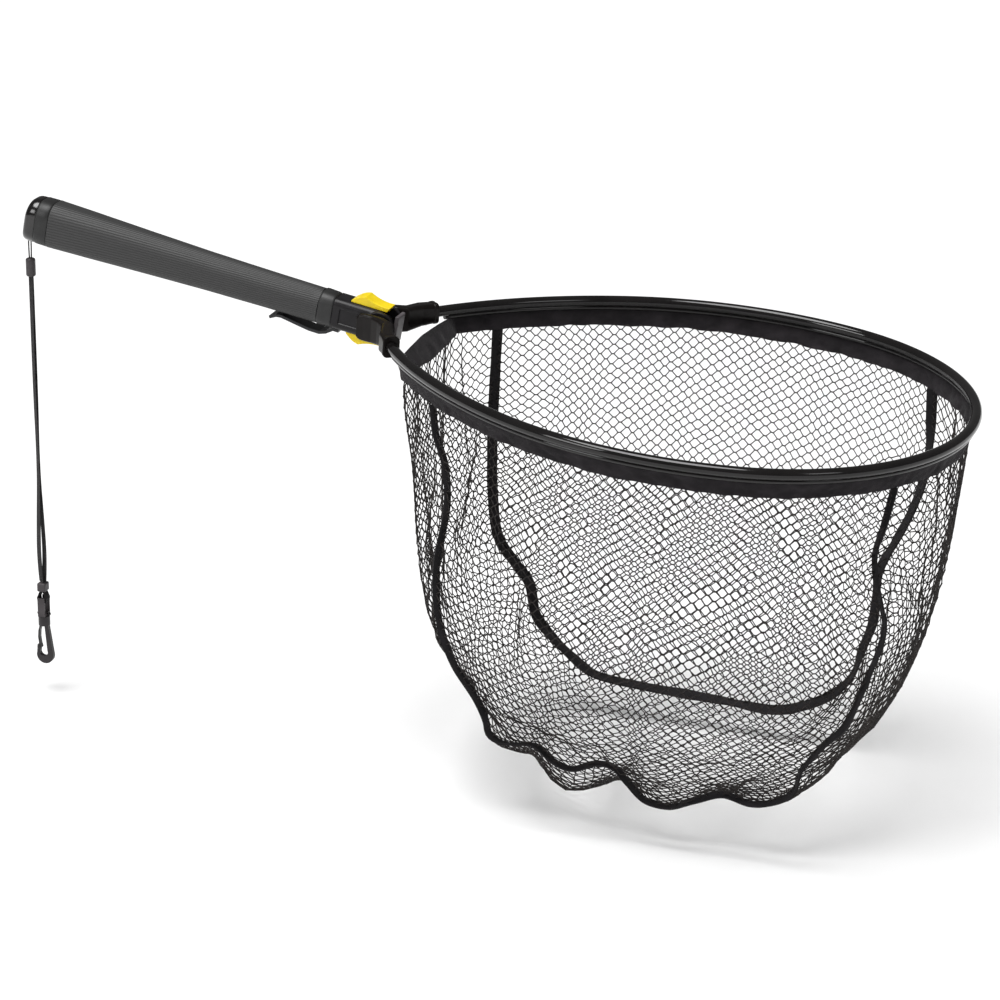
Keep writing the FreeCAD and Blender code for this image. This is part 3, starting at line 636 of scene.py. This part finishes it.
class LANDINGNET_OT_inner_works(bpy.types.Operator):
    """Finishes for the belt clip and for the pieces inside the handle and the hinge"""
    bl_idname = "landing_net.inner_works"
    bl_label = "Inner works"

    def execute(self, context):
        looks = finishes()
        steel = ["tie_pin", "clip_screws", "lock_spring", "lock_tongue", "slider_pin", "hub_drum", "hinge_axle"]
        steel.append("socket_screws")
        choice = {node: "steel" for node in steel}
        choice.update({"handle_tube": "tube", "friction_washers": "dark", "rim_bead": "cord", "belt_clip": "clip"})
        for node, look in choice.items():
            piece = frame["nodes"][node]
            piece.data.materials.clear()
            piece.data.materials.append(looks[look])
            smooth(piece, 30)
        spring = frame["nodes"]["lock_spring"]
        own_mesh(spring)
        return {"FINISHED"}


# Hoop


def hoop_arcs():
    """Each arc of the left side, from the tip: centre, radius, first and last polar angle in radians."""
    arcs = []
    x, y, start = TIP_X - HOOP_ARCS[0][0], 0.0, 0.0
    for i, (radius, end) in enumerate(HOOP_ARCS):
        end = math.radians(end)
        arcs.append((x, y, radius, start, end))
        if i + 1 < len(HOOP_ARCS):
            change = radius - HOOP_ARCS[i + 1][0]
            x, y = x + change * math.cos(end), y + change * math.sin(end)
        start = end
    return arcs


def hoop_point(along, side):
    """A point on the rail's centre line, its share of the way from the tip to the socket, and its heading."""
    lengths = [radius * (end - start) for _, _, radius, start, end in hoop_arcs()]
    rest = along * sum(lengths)
    for (x, y, radius, start, end), length in zip(hoop_arcs(), lengths):
        if rest <= length or (x, y, radius, start, end) == hoop_arcs()[-1]:
            angle = start + rest / radius
            point = Vector((x + radius * math.cos(angle), side * (y + radius * math.sin(angle)), 0))
            return point, Vector((math.cos(angle), side * math.sin(angle), 0))
        rest -= length
    return None


def spun_tube(name, radius, drop, facets, step, last=None, straight=0.0):
    """A ring spun round each arc's centre in turn, then joined; the other side is its mirror image."""
    lengths = []
    for i, (x, y, bend, start, end) in enumerate(hoop_arcs()):
        if last and i == 2:
            end = math.radians(last)
        bpy.ops.mesh.primitive_circle_add(vertices=facets, radius=radius * MM, location=(bend * MM, 0, drop * MM),
                                          rotation=(math.pi / 2, 0, 0))
        length = bpy.context.object
        bpy.ops.object.transform_apply(location=True, rotation=True, scale=True)
        edit(length)
        bpy.ops.mesh.select_all(action="SELECT")
        steps = max(2, round(bend * (end - start) / step))
        bpy.ops.mesh.spin(steps=steps, angle=start - end, center=(0, 0, 0), axis=(0, 0, 1))
        if straight and i == 2:
            ahead = Vector((-math.sin(end - start), math.cos(end - start), 0)) * straight * MM
            bpy.ops.mesh.extrude_region_move(TRANSFORM_OT_translate={"value": ahead})
        leave()
        length.data.transform(Matrix.Translation((x * MM, y * MM, 0)) @ Matrix.Rotation(start, 4, "Z"))
        lengths.append(length)
    only(lengths[0])
    for length in lengths[1:]:
        length.select_set(True)
    bpy.ops.object.join()
    tube = bpy.context.object
    tube.name = tube.data.name = name
    apply(tube, "MIRROR", use_axis=(False, True, False))
    edit(tube)
    bpy.ops.mesh.select_all(action="SELECT")
    bpy.ops.mesh.remove_doubles(threshold=5e-5)
    bpy.ops.mesh.select_mode(type="EDGE")
    bpy.ops.mesh.select_all(action="DESELECT")
    bpy.ops.mesh.select_non_manifold()
    bpy.ops.mesh.edge_face_add()
    outwards()
    leave()
    return tube


class LANDINGNET_OT_hoop(bpy.types.Operator):
    """Gloss rail with the small lipped channel under it"""
    bl_idname = "landing_net.hoop"
    bl_label = "Hoop"

    def execute(self, context):
        rail = spun_tube("hoop_rail", 5.0, 0.0, 32, 5.0, straight=18.0)
        lip = spun_tube("hoop_lip", 2.4, CHANNEL_Z + 0.4, 14, 5.0, last=141.4)
        only(rail)
        lip.select_set(True)
        bpy.ops.object.join()
        smooth(rail, 50)
        settle(rail, HEAD)
        finish_piece(rail, "head", finishes()["rail"], "rail", "hoop_frame")
        return {"FINISHED"}


# Lanyard


def hung(points):
    return [HANG @ (Vector(point) * MM) for point in points]


def spline_curve(name, points, thickness):
    """A cord's smooth line: its route's points are the control points."""
    curve = bpy.data.curves.new(name, "CURVE")
    curve.dimensions = "3D"
    line = curve.splines.new("NURBS")
    line.points.add(len(points) - 1)
    for target, point in zip(line.points, points):
        target.co = (*point, 1)
    line.order_u = 3
    line.use_endpoint_u = True
    line.resolution_u = 16
    curve.bevel_depth = thickness / 2
    curve.bevel_resolution = 4 if thickness else 0
    curve.use_fill_caps = bool(thickness)
    piece = bpy.data.objects.new(name, curve)
    bpy.context.scene.collection.objects.link(piece)
    return piece


def followed(points, gap):
    """Even steps along a route's own spline."""
    guide = spline_curve("guide", points, 0)
    bpy.context.view_layer.update()
    mesh = bpy.data.meshes.new_from_object(guide.evaluated_get(bpy.context.evaluated_depsgraph_get()))
    line = [vertex.co.copy() for vertex in mesh.vertices]
    bpy.data.meshes.remove(mesh)
    bpy.data.objects.remove(guide)
    steps, carried = [line[0]], 0.0
    for before, after in zip(line, line[1:]):
        length = (after - before).length
        while carried + length >= gap:
            before = before + (after - before).normalized() * (gap - carried)
            length = (after - before).length
            steps.append(before)
            carried = 0.0
        carried += length
    steps.append(line[-1])
    return steps


def ribbon(name, path, width, thickness, turn_at):
    """A flat strip along a path; turn_at gives its width's direction at each share of the way."""
    points, faces = [], []
    for i, point in enumerate(path):
        heading = (path[min(i + 1, len(path) - 1)] - path[max(i - 1, 0)]).normalized()
        across = turn_at(i / (len(path) - 1))
        across = (across - heading * across.dot(heading)).normalized()
        normal = heading.cross(across)
        for share, lift in ((-1, -0.8), (-0.55, -1), (0.55, -1), (1, -0.8), (1, 0.8), (0.55, 1), (-0.55, 1), (-1, 0.8)):
            points.append(point + across * share * width / 2 + normal * lift * thickness / 2)
    for i in range(len(path) - 1):
        for j in range(8):
            a, b = i * 8 + j, i * 8 + (j + 1) % 8
            faces.append((a, b, b + 8, a + 8))
    faces.append(tuple(range(7, -1, -1)))
    faces.append(tuple(len(points) - 8 + j for j in range(8)))
    piece = new_mesh(name, points, faces)
    layer = piece.data.uv_layers.new(name="Weave")
    places = (0, 0.2, 0.8, 1, 1, 0.8, 0.2, 0)
    for polygon in piece.data.polygons:
        for loop, i in zip(polygon.loop_indices, polygon.vertices):
            layer.data[loop].uv = (places[i % 8] * width, i // 8 * (path[1] - path[0]).length)
    edit(piece)
    outwards()
    leave()
    smooth(piece, 60)
    return piece


LOOP_ROUTE = [(-1.0, 0, -23.4), (-1.9, 0, 1.8), (1.9, 0, 1.8), (1.0, 0, -23.4)]
# One leg of the ribbon; the other is its half turn about the lanyard's own line.
RIBBON_ROUTE = [(0.2, -0.8, -40.7), (-0.6, -1.5, -142), (0.9, -1.2, -226), (-1.6, -1.0, -283)]
RIBBON_ROUTE += [(-2.7, -0.9, -320), (-1.0, -0.6, -342.8)]


class LANDINGNET_OT_lanyard(bpy.types.Operator):
    """Thin cord loop on the tie pin, and the two legs of the flat ribbon"""
    bl_idname = "landing_net.lanyard"
    bl_label = "Lanyard"

    def execute(self, context):
        looks = finishes()
        loop = spline_curve("cord_loop", hung(LOOP_ROUTE), 0.0013)
        loop.data.materials.append(looks["cord"])
        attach(loop, "lanyard")
        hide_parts("lanyard_cord")
        for node, name, voxel, look in (("lanyard_barrel", "barrel", 0.0002, "fitting"), ("lanyard_crimp", "crimp", 0.0002, "fitting"),
                                        ("ribbon_eye", "eye", 0.00016, "ribbon"), ("swivel_yoke", "yoke", 0.0002, "fitting"),
                                        ("swivel_pin", "pin", 0.00018, "dark"), ("snap_hook", "hook", 0.00024, "hook"),
                                        ("hook_gate", "gate", 0.00016, "dark")):
            slot = {"dark": "dark", "hook": "hook", "ribbon": "ribbon"}.get(look, "fitting")
            moulded(node, "hung_" + name, voxel, 3, looks[look], slot)
        for name, side, node in (("ribbon_front", 1, "ribbon_leg_front"), ("ribbon_back", -1, "ribbon_leg_back")):
            route = [(side * x, side * y, z) for x, y, z in RIBBON_ROUTE]
            path = followed(hung(route), 0.002)

            def turn_at(share):
                twist = -0.55 - 0.25 * math.sin(3.1 * share + 0.4) - 0.2 * share ** 3
                return Vector((math.cos(twist), math.sin(twist), 0))
            leg = ribbon(name, path, 0.0085, 0.0007, turn_at)
            finish_piece(leg, "lanyard", looks["ribbon"], "ribbon", node)
        return {"FINISHED"}


# Bag: a band under the rail, two side panels, and one long panel that makes the rear, bottom and front.
# Each seam is drawn from the rear of the rim down, along and up to its front: along, across, up.
NEAR_SEAM = [(98, -120, -46), (109, -122, -72), (114, -124, -100), (114, -127, -124), (110, -129, -159)]
NEAR_SEAM += [(112, -130, -196), (120, -130, -228), (133, -130, -255), (154, -130, -281), (165, -130, -300)]
NEAR_SEAM += [(170, -130, -314), (185, -130, -319), (212, -130, -315), (230, -130, -326), (248, -130, -330)]
NEAR_SEAM += [(269, -130, -320), (286, -130, -320), (300, -130, -332), (317, -130, -345), (340, -130, -346)]
NEAR_SEAM += [(362, -130, -335), (386, -130, -324), (413, -130, -327), (437, -130, -318), (449, -130, -305)]
NEAR_SEAM += [(453, -130, -286), (471, -130, -257), (487, -129, -236), (501, -126, -190), (510, -123, -148)]
NEAR_SEAM += [(504, -120, -123), (496, -117, -101), (493, -113, -80), (497, -110, -59)]
FAR_SEAM = [(71, 116, -107), (71, 121, -148), (73, 126, -194), (80, 129, -235), (98, 130, -259), (114, 130, -277)]
FAR_SEAM += [(123, 130, -308), (141, 130, -327), (162, 130, -343), (186, 130, -356), (230, 130, -358)]
FAR_SEAM += [(274, 130, -357), (313, 130, -356), (360, 130, -355), (390, 130, -344), (415, 130, -327)]
FAR_SEAM += [(431, 131, -305), (437, 132, -279), (444, 134, -251), (444, 136, -224), (444, 138, -200)]
FAR_SEAM += [(455, 140, -171), (466, 143, -141), (473, 146, -110), (475, 148, -76)]
# How far along each seam leaves the rim, at its rear and its front.
REAR_ENDS = {-1: 90, 1: 72}
FRONT_ENDS = {-1: 506, 1: 475}
RIM_DROP = -21.5
RIM_LEAN = 4.0
CROSS_X = 42.0


def walk(points, count):
    """A smooth line through the points, in even steps."""
    points = [Vector(p) for p in points]
    fine = []
    padded = [points[0] * 2 - points[1], *points, points[-1] * 2 - points[-2]]
    for a, b, c, d in zip(padded, padded[1:], padded[2:], padded[3:]):
        for i in range(12):
            t = i / 12
            fine.append(0.5 * (2 * b + (c - a) * t + (2 * a - 5 * b + 4 * c - d) * t * t
                               + (3 * b - a - 3 * c + d) * t ** 3))
    fine.append(points[-1])
    reach = [0.0]
    for before, after in zip(fine, fine[1:]):
        reach.append(reach[-1] + (after - before).length)
    steps, j = [], 0
    for i in range(count):
        wanted = reach[-1] * i / (count - 1)
        while j < len(reach) - 2 and reach[j + 1] < wanted:
            j += 1
        span = max(reach[j + 1] - reach[j], 1e-9)
        steps.append(fine[j].lerp(fine[j + 1], min(max((wanted - reach[j]) / span, 0), 1)))
    return steps


def along_at_x(x):
    return min((i / 2000 for i in range(2001)), key=lambda a: abs(hoop_point(a, 1)[0].x - x))


def rim_stretch(first, last, side, count, drop=RIM_DROP):
    line = []
    for i in range(count):
        point, outward = hoop_point(first + (last - first) * i / (count - 1), side)
        line.append(point - outward * RIM_LEAN + Vector((0, 0, drop)))
    return line


def seam(side):
    """The whole seam, from the rim's rear to its front."""
    rear, front = along_at_x(REAR_ENDS[side]), along_at_x(FRONT_ENDS[side])
    first, last = rim_stretch(rear, front, side, 2)
    return [first, *(NEAR_SEAM if side < 0 else FAR_SEAM), last]


def side_panel(side):
    """Grid of points from the rim to the seam, and the flat place of each."""
    columns, rows = 72, 32
    rear, front = along_at_x(REAR_ENDS[side]), along_at_x(FRONT_ENDS[side])
    rim = rim_stretch(rear, front, side, columns + 1)
    edge = walk(seam(side), 400)
    arc = [0.0]
    for before, after in zip(rim, rim[1:]):
        arc.append(arc[-1] + (after - before).length)
    grid, flat = [], []
    for i in range(columns + 1):
        low = edge[round((0.03 + 0.94 * i / columns) * 399)]
        above = min(range(columns + 1), key=lambda k: abs(rim[k].x - low.x))
        low_flat = Vector((arc[above], -(low - rim[above]).length * 1.02, 0))
        top_flat = Vector((arc[i], 0, 0))
        for j in range(rows + 1):
            share = j / rows
            point = rim[i].lerp(low, share)
            point.y = rim[i].y + (low.y - rim[i].y) * share ** 1.5
            flat.append(top_flat.lerp(low_flat, share))
            grid.append(point)
    return grid, flat, columns, rows


def rear_rim(count):
    """The band's lower edge across the yoke, between the two seams."""
    corner = along_at_x(CROSS_X + 6)
    near = rim_stretch(along_at_x(REAR_ENDS[-1]), corner, -1, 12)
    far = rim_stretch(corner, along_at_x(REAR_ENDS[1]), 1, 12)
    middle = [Vector((CROSS_X + 4, near[-1].y * (1 - i / 5), RIM_DROP + 3)) for i in range(1, 10)]
    return walk(near + middle + far, count)


def front_rim(count):
    near = rim_stretch(along_at_x(FRONT_ENDS[-1]), 0.0, -1, 20)
    far = rim_stretch(0.0, along_at_x(FRONT_ENDS[1]), 1, 28)
    return walk(near + far[1:], count)


def long_panel():
    """Grid across the bag, from the rear of the rim down, along and up to its front."""
    columns, rows = 30, 104
    near, far = walk(seam(-1), rows + 1), walk(seam(1), rows + 1)
    first, last = rear_rim(columns + 1), front_rim(columns + 1)
    grid, flat, travelled = [], [], 0.0
    for j in range(rows + 1):
        if j:
            travelled += ((near[j] - near[j - 1]).length + (far[j] - far[j - 1]).length) / 2
        heading = near[min(j + 1, rows)] - near[max(j - 1, 0)] + far[min(j + 1, rows)] - far[max(j - 1, 0)]
        outward = Vector((heading.z, 0, -heading.x)).normalized()
        upright = abs(outward.x)
        end_share = min(j, rows - j) / rows
        middle = (near[j] + far[j]) / 2
        low_pouch = 45 * math.exp(-((middle.x - 225) / 60) ** 2) * (1 - upright)
        swell = 5 + upright * (12 + 38 * max(0.0, 1 - 3 * end_share))
        rear_pull = math.exp(-(j / rows) * 14)
        front_pull = math.exp(-(1 - j / rows) * 14)
        for i in range(columns + 1):
            v = i / columns
            base = near[j].lerp(far[j], v)
            bulge = math.sin(math.pi * v) ** 0.45 * swell + math.sin(math.pi * v) ** 0.3 * low_pouch * (1 - 0.75 * v)
            point = base + outward * bulge * (1 - rear_pull) * (1 - front_pull)
            point += (first[i] - near[0].lerp(far[0], v)) * rear_pull
            point += (last[i] - near[rows].lerp(far[rows], v)) * front_pull
            grid.append(point)
            flat.append(Vector((v * 262 + (6 * upright - 3), -travelled, 0)))
    return grid, flat, rows, columns


def drape(panels, sizes):
    """Lets the netting down on its seams and rim, then bakes the result."""
    cloths = []
    for name, grid, pinned, rows, columns in panels:
        points = []
        for i, point in enumerate(grid):
            place = HEAD @ (point * MM)
            if not pinned(i):
                place += noise.noise_vector(place * 28) * 0.0026 + noise.noise_vector(place * 75) * 0.0008
            points.append(place)
        faces = []
        for a in range(rows):
            for b in range(columns):
                k = a * (columns + 1) + b
                faces.append((k, k + 1, k + columns + 2, k + columns + 1))
        cloth = new_mesh(name, points, faces)
        pins = cloth.vertex_groups.new(name="Pinned")
        pins.add([i for i in range(len(points)) if pinned(i)], 1.0, "REPLACE")
        modifier = cloth.modifiers.new("Cloth", "CLOTH")
        modifier.settings.vertex_group_mass = "Pinned"
        modifier.settings.quality = 6
        modifier.settings.mass = 0.08
        modifier.settings.tension_stiffness = 12
        modifier.settings.compression_stiffness = 4
        modifier.settings.shear_stiffness = 2
        modifier.settings.bending_stiffness = 0.02
        modifier.settings.air_damping = 3
        modifier.settings.shrink_min = -sizes.slack
        modifier.collision_settings.use_collision = False
        modifier.point_cache.frame_end = sizes.settle_frames
        cloths.append(cloth)
    for step in range(1, sizes.settle_frames + 1):
        bpy.context.scene.frame_set(step)
    for cloth in cloths:
        only(cloth)
        bpy.ops.object.modifier_apply(modifier="Cloth")
    bpy.context.scene.frame_set(1)
    return cloths


def knit(name, cloth, flat, sizes):
    """Hexagonal mesh of thread laid on the draped cloth, each link a short closed bar."""
    flat_points = [Vector((p.x, p.y, 0)) * MM for p in flat]
    hung_points = [vertex.co.copy() for vertex in cloth.data.vertices]
    triangles = []
    for polygon in cloth.data.polygons:
        a, b, c, d = polygon.vertices
        triangles += [(a, b, c), (a, c, d)]
    tree = BVHTree.FromPolygons(flat_points, triangles)

    def lay(x, y):
        hit, _, index, gap = tree.find_nearest(Vector((x, y, 0)))
        a, b, c = triangles[index]
        place = barycentric_transform(hit, flat_points[a], flat_points[b], flat_points[c],
                                      hung_points[a], hung_points[b], hung_points[c])
        normal = (hung_points[b] - hung_points[a]).cross(hung_points[c] - hung_points[a]).normalized()
        return place, normal, gap
    pitch, row = sizes.mesh_pitch, sizes.mesh_row
    link = pitch * 0.17
    left, right = min(p.x for p in flat_points), max(p.x for p in flat_points)
    low, high = min(p.y for p in flat_points), max(p.y for p in flat_points)
    placed = {}

    def knot(column, level, end):
        """The left or right end of one short horizontal link."""
        key = (column, level, end)
        if key not in placed:
            x = left + column * pitch + (pitch / 2 if level % 2 else 0) + end * link / 2
            y = high - level * row / 2
            wander = noise.noise_vector(Vector((x, y, 0.3)) * 160) * 0.0004
            placed[key] = lay(x + wander.x, y + wander.y)
        return placed[key]
    bars = []
    columns, levels = int((right - left) / pitch) + 2, int((high - low) / row * 2) + 2
    for level in range(levels):
        for column in range(-1, columns):
            bars.append((knot(column, level, -1), knot(column, level, 1), 1.25))
            shift = column if level % 2 else column - 1
            bars.append((knot(column, level, -1), knot(shift, level + 1, 1), 1.0))
            bars.append((knot(column, level, 1), knot(shift + 1, level + 1, -1), 1.0))
    points, faces = [], []
    half = sizes.thread / 2
    for (start, up_a, gap_a), (stop, up_b, gap_b), weight in bars:
        if min(gap_a, gap_b) > 1e-5 or max(gap_a, gap_b) > row or (stop - start).length < 1e-4:
            continue
        heading = (stop - start).normalized()
        normal = (up_a + up_b).normalized()
        across = heading.cross(normal).normalized() * half * weight
        rise = heading.cross(across).normalized() * half * weight
        first = len(points)
        for place in (start - heading * half * 0.5, stop + heading * half * 0.5):
            points += [place + across, place + rise, place - across, place - rise]
        faces += [(first + k, first + (k + 1) % 4, first + 4 + (k + 1) % 4, first + 4 + k) for k in range(4)]
        faces += [(first + 3, first + 2, first + 1, first), (first + 4, first + 5, first + 6, first + 7)]
    net = new_mesh(name, points, faces)
    edit(net)
    outwards()
    leave()
    smooth(net, 100)
    return net


def give_way(piece):
    """Gives a fabric piece its own copy of its mesh."""
    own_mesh(piece)


def rim_band():
    """Crumpled strip under the rail, straight across the yoke, as a closed loop."""
    corner = along_at_x(CROSS_X)
    line = [hoop_point(corner * i / 190, 1)[0] for i in range(190)]
    across = hoop_point(corner, 1)[0].y
    line += [Vector((CROSS_X, across * (1 - i / 13), 0)) for i in range(27)]
    line += [hoop_point(corner * i / 190, -1)[0] for i in range(189, 0, -1)]
    count, rows = len(line), 8
    points, faces, travelled = [], [], [0.0]
    for i, point in enumerate(line):
        heading = (line[(i + 1) % count] - line[i - 1]).normalized()
        normal = Vector((heading.y, -heading.x, 0))
        travelled.append(travelled[-1] + (line[(i + 1) % count] - point).length)
        slant = max(0.0, 1 - abs(point.y) / across) ** 0.4 if point.x < CROSS_X + 0.01 else 0.0
        for j in range(rows + 1):
            share = j / rows
            top = -8.2 if slant == 0 else -8.2 + 4.5 * slant
            z = top + (RIM_DROP - 1 - top) * share
            place = point + Vector((0, 0, z)) + Vector((1, 0, 0)) * slant * (share - 0.5) * 9
            swing = noise.noise(place * 0.09) * 1.7 + noise.noise(place * 0.24 + Vector((9, 4, 1))) * 1.1
            creases = abs(noise.noise(place * 0.13 + Vector((2, 7, 5)))) * 2.2
            place += normal * ((swing + creases - 0.5) * min(1.0, share * 2.2 + 0.15) - RIM_LEAN * share)
            place.z += noise.noise(point * 0.06 + Vector((5, 5, 5))) * 1.2 * share
            points.append(HEAD @ (place * MM))
    for i in range(count):
        for j in range(rows):
            a, b = i * (rows + 1) + j, (i + 1) % count * (rows + 1) + j
            faces.append((a, b, b + 1, a + 1))
    band = new_mesh("rim_cloth", points, faces)
    layer = band.data.uv_layers.new(name="Weave")
    for polygon in band.data.polygons:
        for loop, i in zip(polygon.loop_indices, polygon.vertices):
            layer.data[loop].uv = (travelled[i // (rows + 1)] * MM, (i % (rows + 1)) * 1.8 * MM)
    edit(band)
    outwards()
    leave()
    apply(band, "SOLIDIFY", thickness=0.0008, offset=0.0)
    apply(band, "SUBSURF", levels=1, render_levels=1)
    smooth(band, 70)
    return band, travelled[-1] * MM


def seam_tape(name, side, width):
    """Folded tape over a seam, turning a little as it goes."""
    path = [HEAD @ (point * MM) for point in walk(seam(side), 260)]
    count = len(path) - 1

    def turn_at(share):
        i = min(max(round(share * count), 1), count - 1)
        heading = (path[i + 1] - path[i - 1]).normalized()
        level = Vector((-heading.z, 0, heading.x)).normalized()
        upright = abs(heading.z)
        wander = 0.5 * noise.noise(Vector((share * 16, 0.5, 0.2))) + 0.35 * noise.noise(Vector((share * 43, 1.5, 0.7)))
        angle = math.radians(72 - 40 * upright) + wander
        return level * math.cos(angle) + Vector((0, 1, 0)) * math.sin(angle)
    tape = ribbon(name, path, width, 0.0022, turn_at)
    length = sum((b - a).length for a, b in zip(path, path[1:]))
    return tape, length


class LANDINGNET_OT_bag(bpy.types.Operator):
    """Rim band, seam tapes and the draped netting"""
    bl_idname = "landing_net.bag"
    bl_label = "Bag"

    def execute(self, context):
        sizes, looks = context.scene.landing_net_sizes, finishes()
        near, near_flat, columns, rows = side_panel(-1)
        far, far_flat, _, _ = side_panel(1)
        long, long_flat, long_rows, long_columns = long_panel()

        def side_pin(i):
            return i % (rows + 1) in (0, rows) or i // (rows + 1) in (0, columns)

        def long_pin(i):
            return i % (long_columns + 1) in (0, long_columns) or i // (long_columns + 1) in (0, long_rows)
        cloths = drape([("near_cloth", near, side_pin, columns, rows), ("far_cloth", far, side_pin, columns, rows),
                        ("long_cloth", long, long_pin, long_rows, long_columns)], sizes)
        for cloth, flat, name, node in zip(cloths, (near_flat, far_flat, long_flat),
                                           ("near_netting", "far_netting", "long_netting"),
                                           ("net_side_near", "net_side_far", "net_gusset")):
            net = knit(name, cloth, flat, sizes)
            bpy.data.objects.remove(cloth)
            finish_piece(net, "head", looks["netting"], "netting", node)
            give_way(net)
        band, length = rim_band()
        finish_piece(band, "head", looks["band"], "band", "rim_band")
        for name, side, width, node in (("near_tape", -1, 0.0062, "seam_tape_near"),
                                        ("far_tape", 1, 0.0098, "seam_tape_far")):
            tape, length = seam_tape(name, side, width)
            finish_piece(tape, "head", looks["tape"], "tape", node)
            give_way(tape)
        return {"FINISHED"}


class LANDINGNET_PT_panel(bpy.types.Panel):
    """Lists the sizes, the colours and the steps in the sidebar"""
    bl_label = "Landing Net"
    bl_idname = "LANDINGNET_PT_panel"
    bl_space_type = "VIEW_3D"
    bl_region_type = "UI"
    bl_category = "Landing Net"

    def draw(self, context):
        layout = self.layout
        for group in (context.scene.landing_net_sizes, context.scene.landing_net_tones):
            for name in group.__annotations__:
                layout.prop(group, name)
        for step in STEPS:
            layout.operator(step.bl_idname)


STEPS = [
    LANDINGNET_OT_stage, LANDINGNET_OT_lanyard, LANDINGNET_OT_grip, LANDINGNET_OT_collars,
    LANDINGNET_OT_butt_cap, LANDINGNET_OT_housing, LANDINGNET_OT_sliders, LANDINGNET_OT_arms,
    LANDINGNET_OT_inner_works, LANDINGNET_OT_hoop, LANDINGNET_OT_bag,
]
CLASSES = [LandingNetTones, LandingNetSizes, *STEPS, LANDINGNET_PT_panel]


def register():
    for made in CLASSES:
        bpy.utils.register_class(made)
    bpy.types.Scene.landing_net_tones = PointerProperty(type=LandingNetTones)
    bpy.types.Scene.landing_net_sizes = PointerProperty(type=LandingNetSizes)


def unregister():
    del bpy.types.Scene.landing_net_sizes
    del bpy.types.Scene.landing_net_tones
    for made in reversed(CLASSES):
        bpy.utils.unregister_class(made)


def main():
    register()
    for step in STEPS:
        area, name = step.bl_idname.split(".")
        getattr(getattr(bpy.ops, area), name)()


if __name__ == "__main__":
    main()
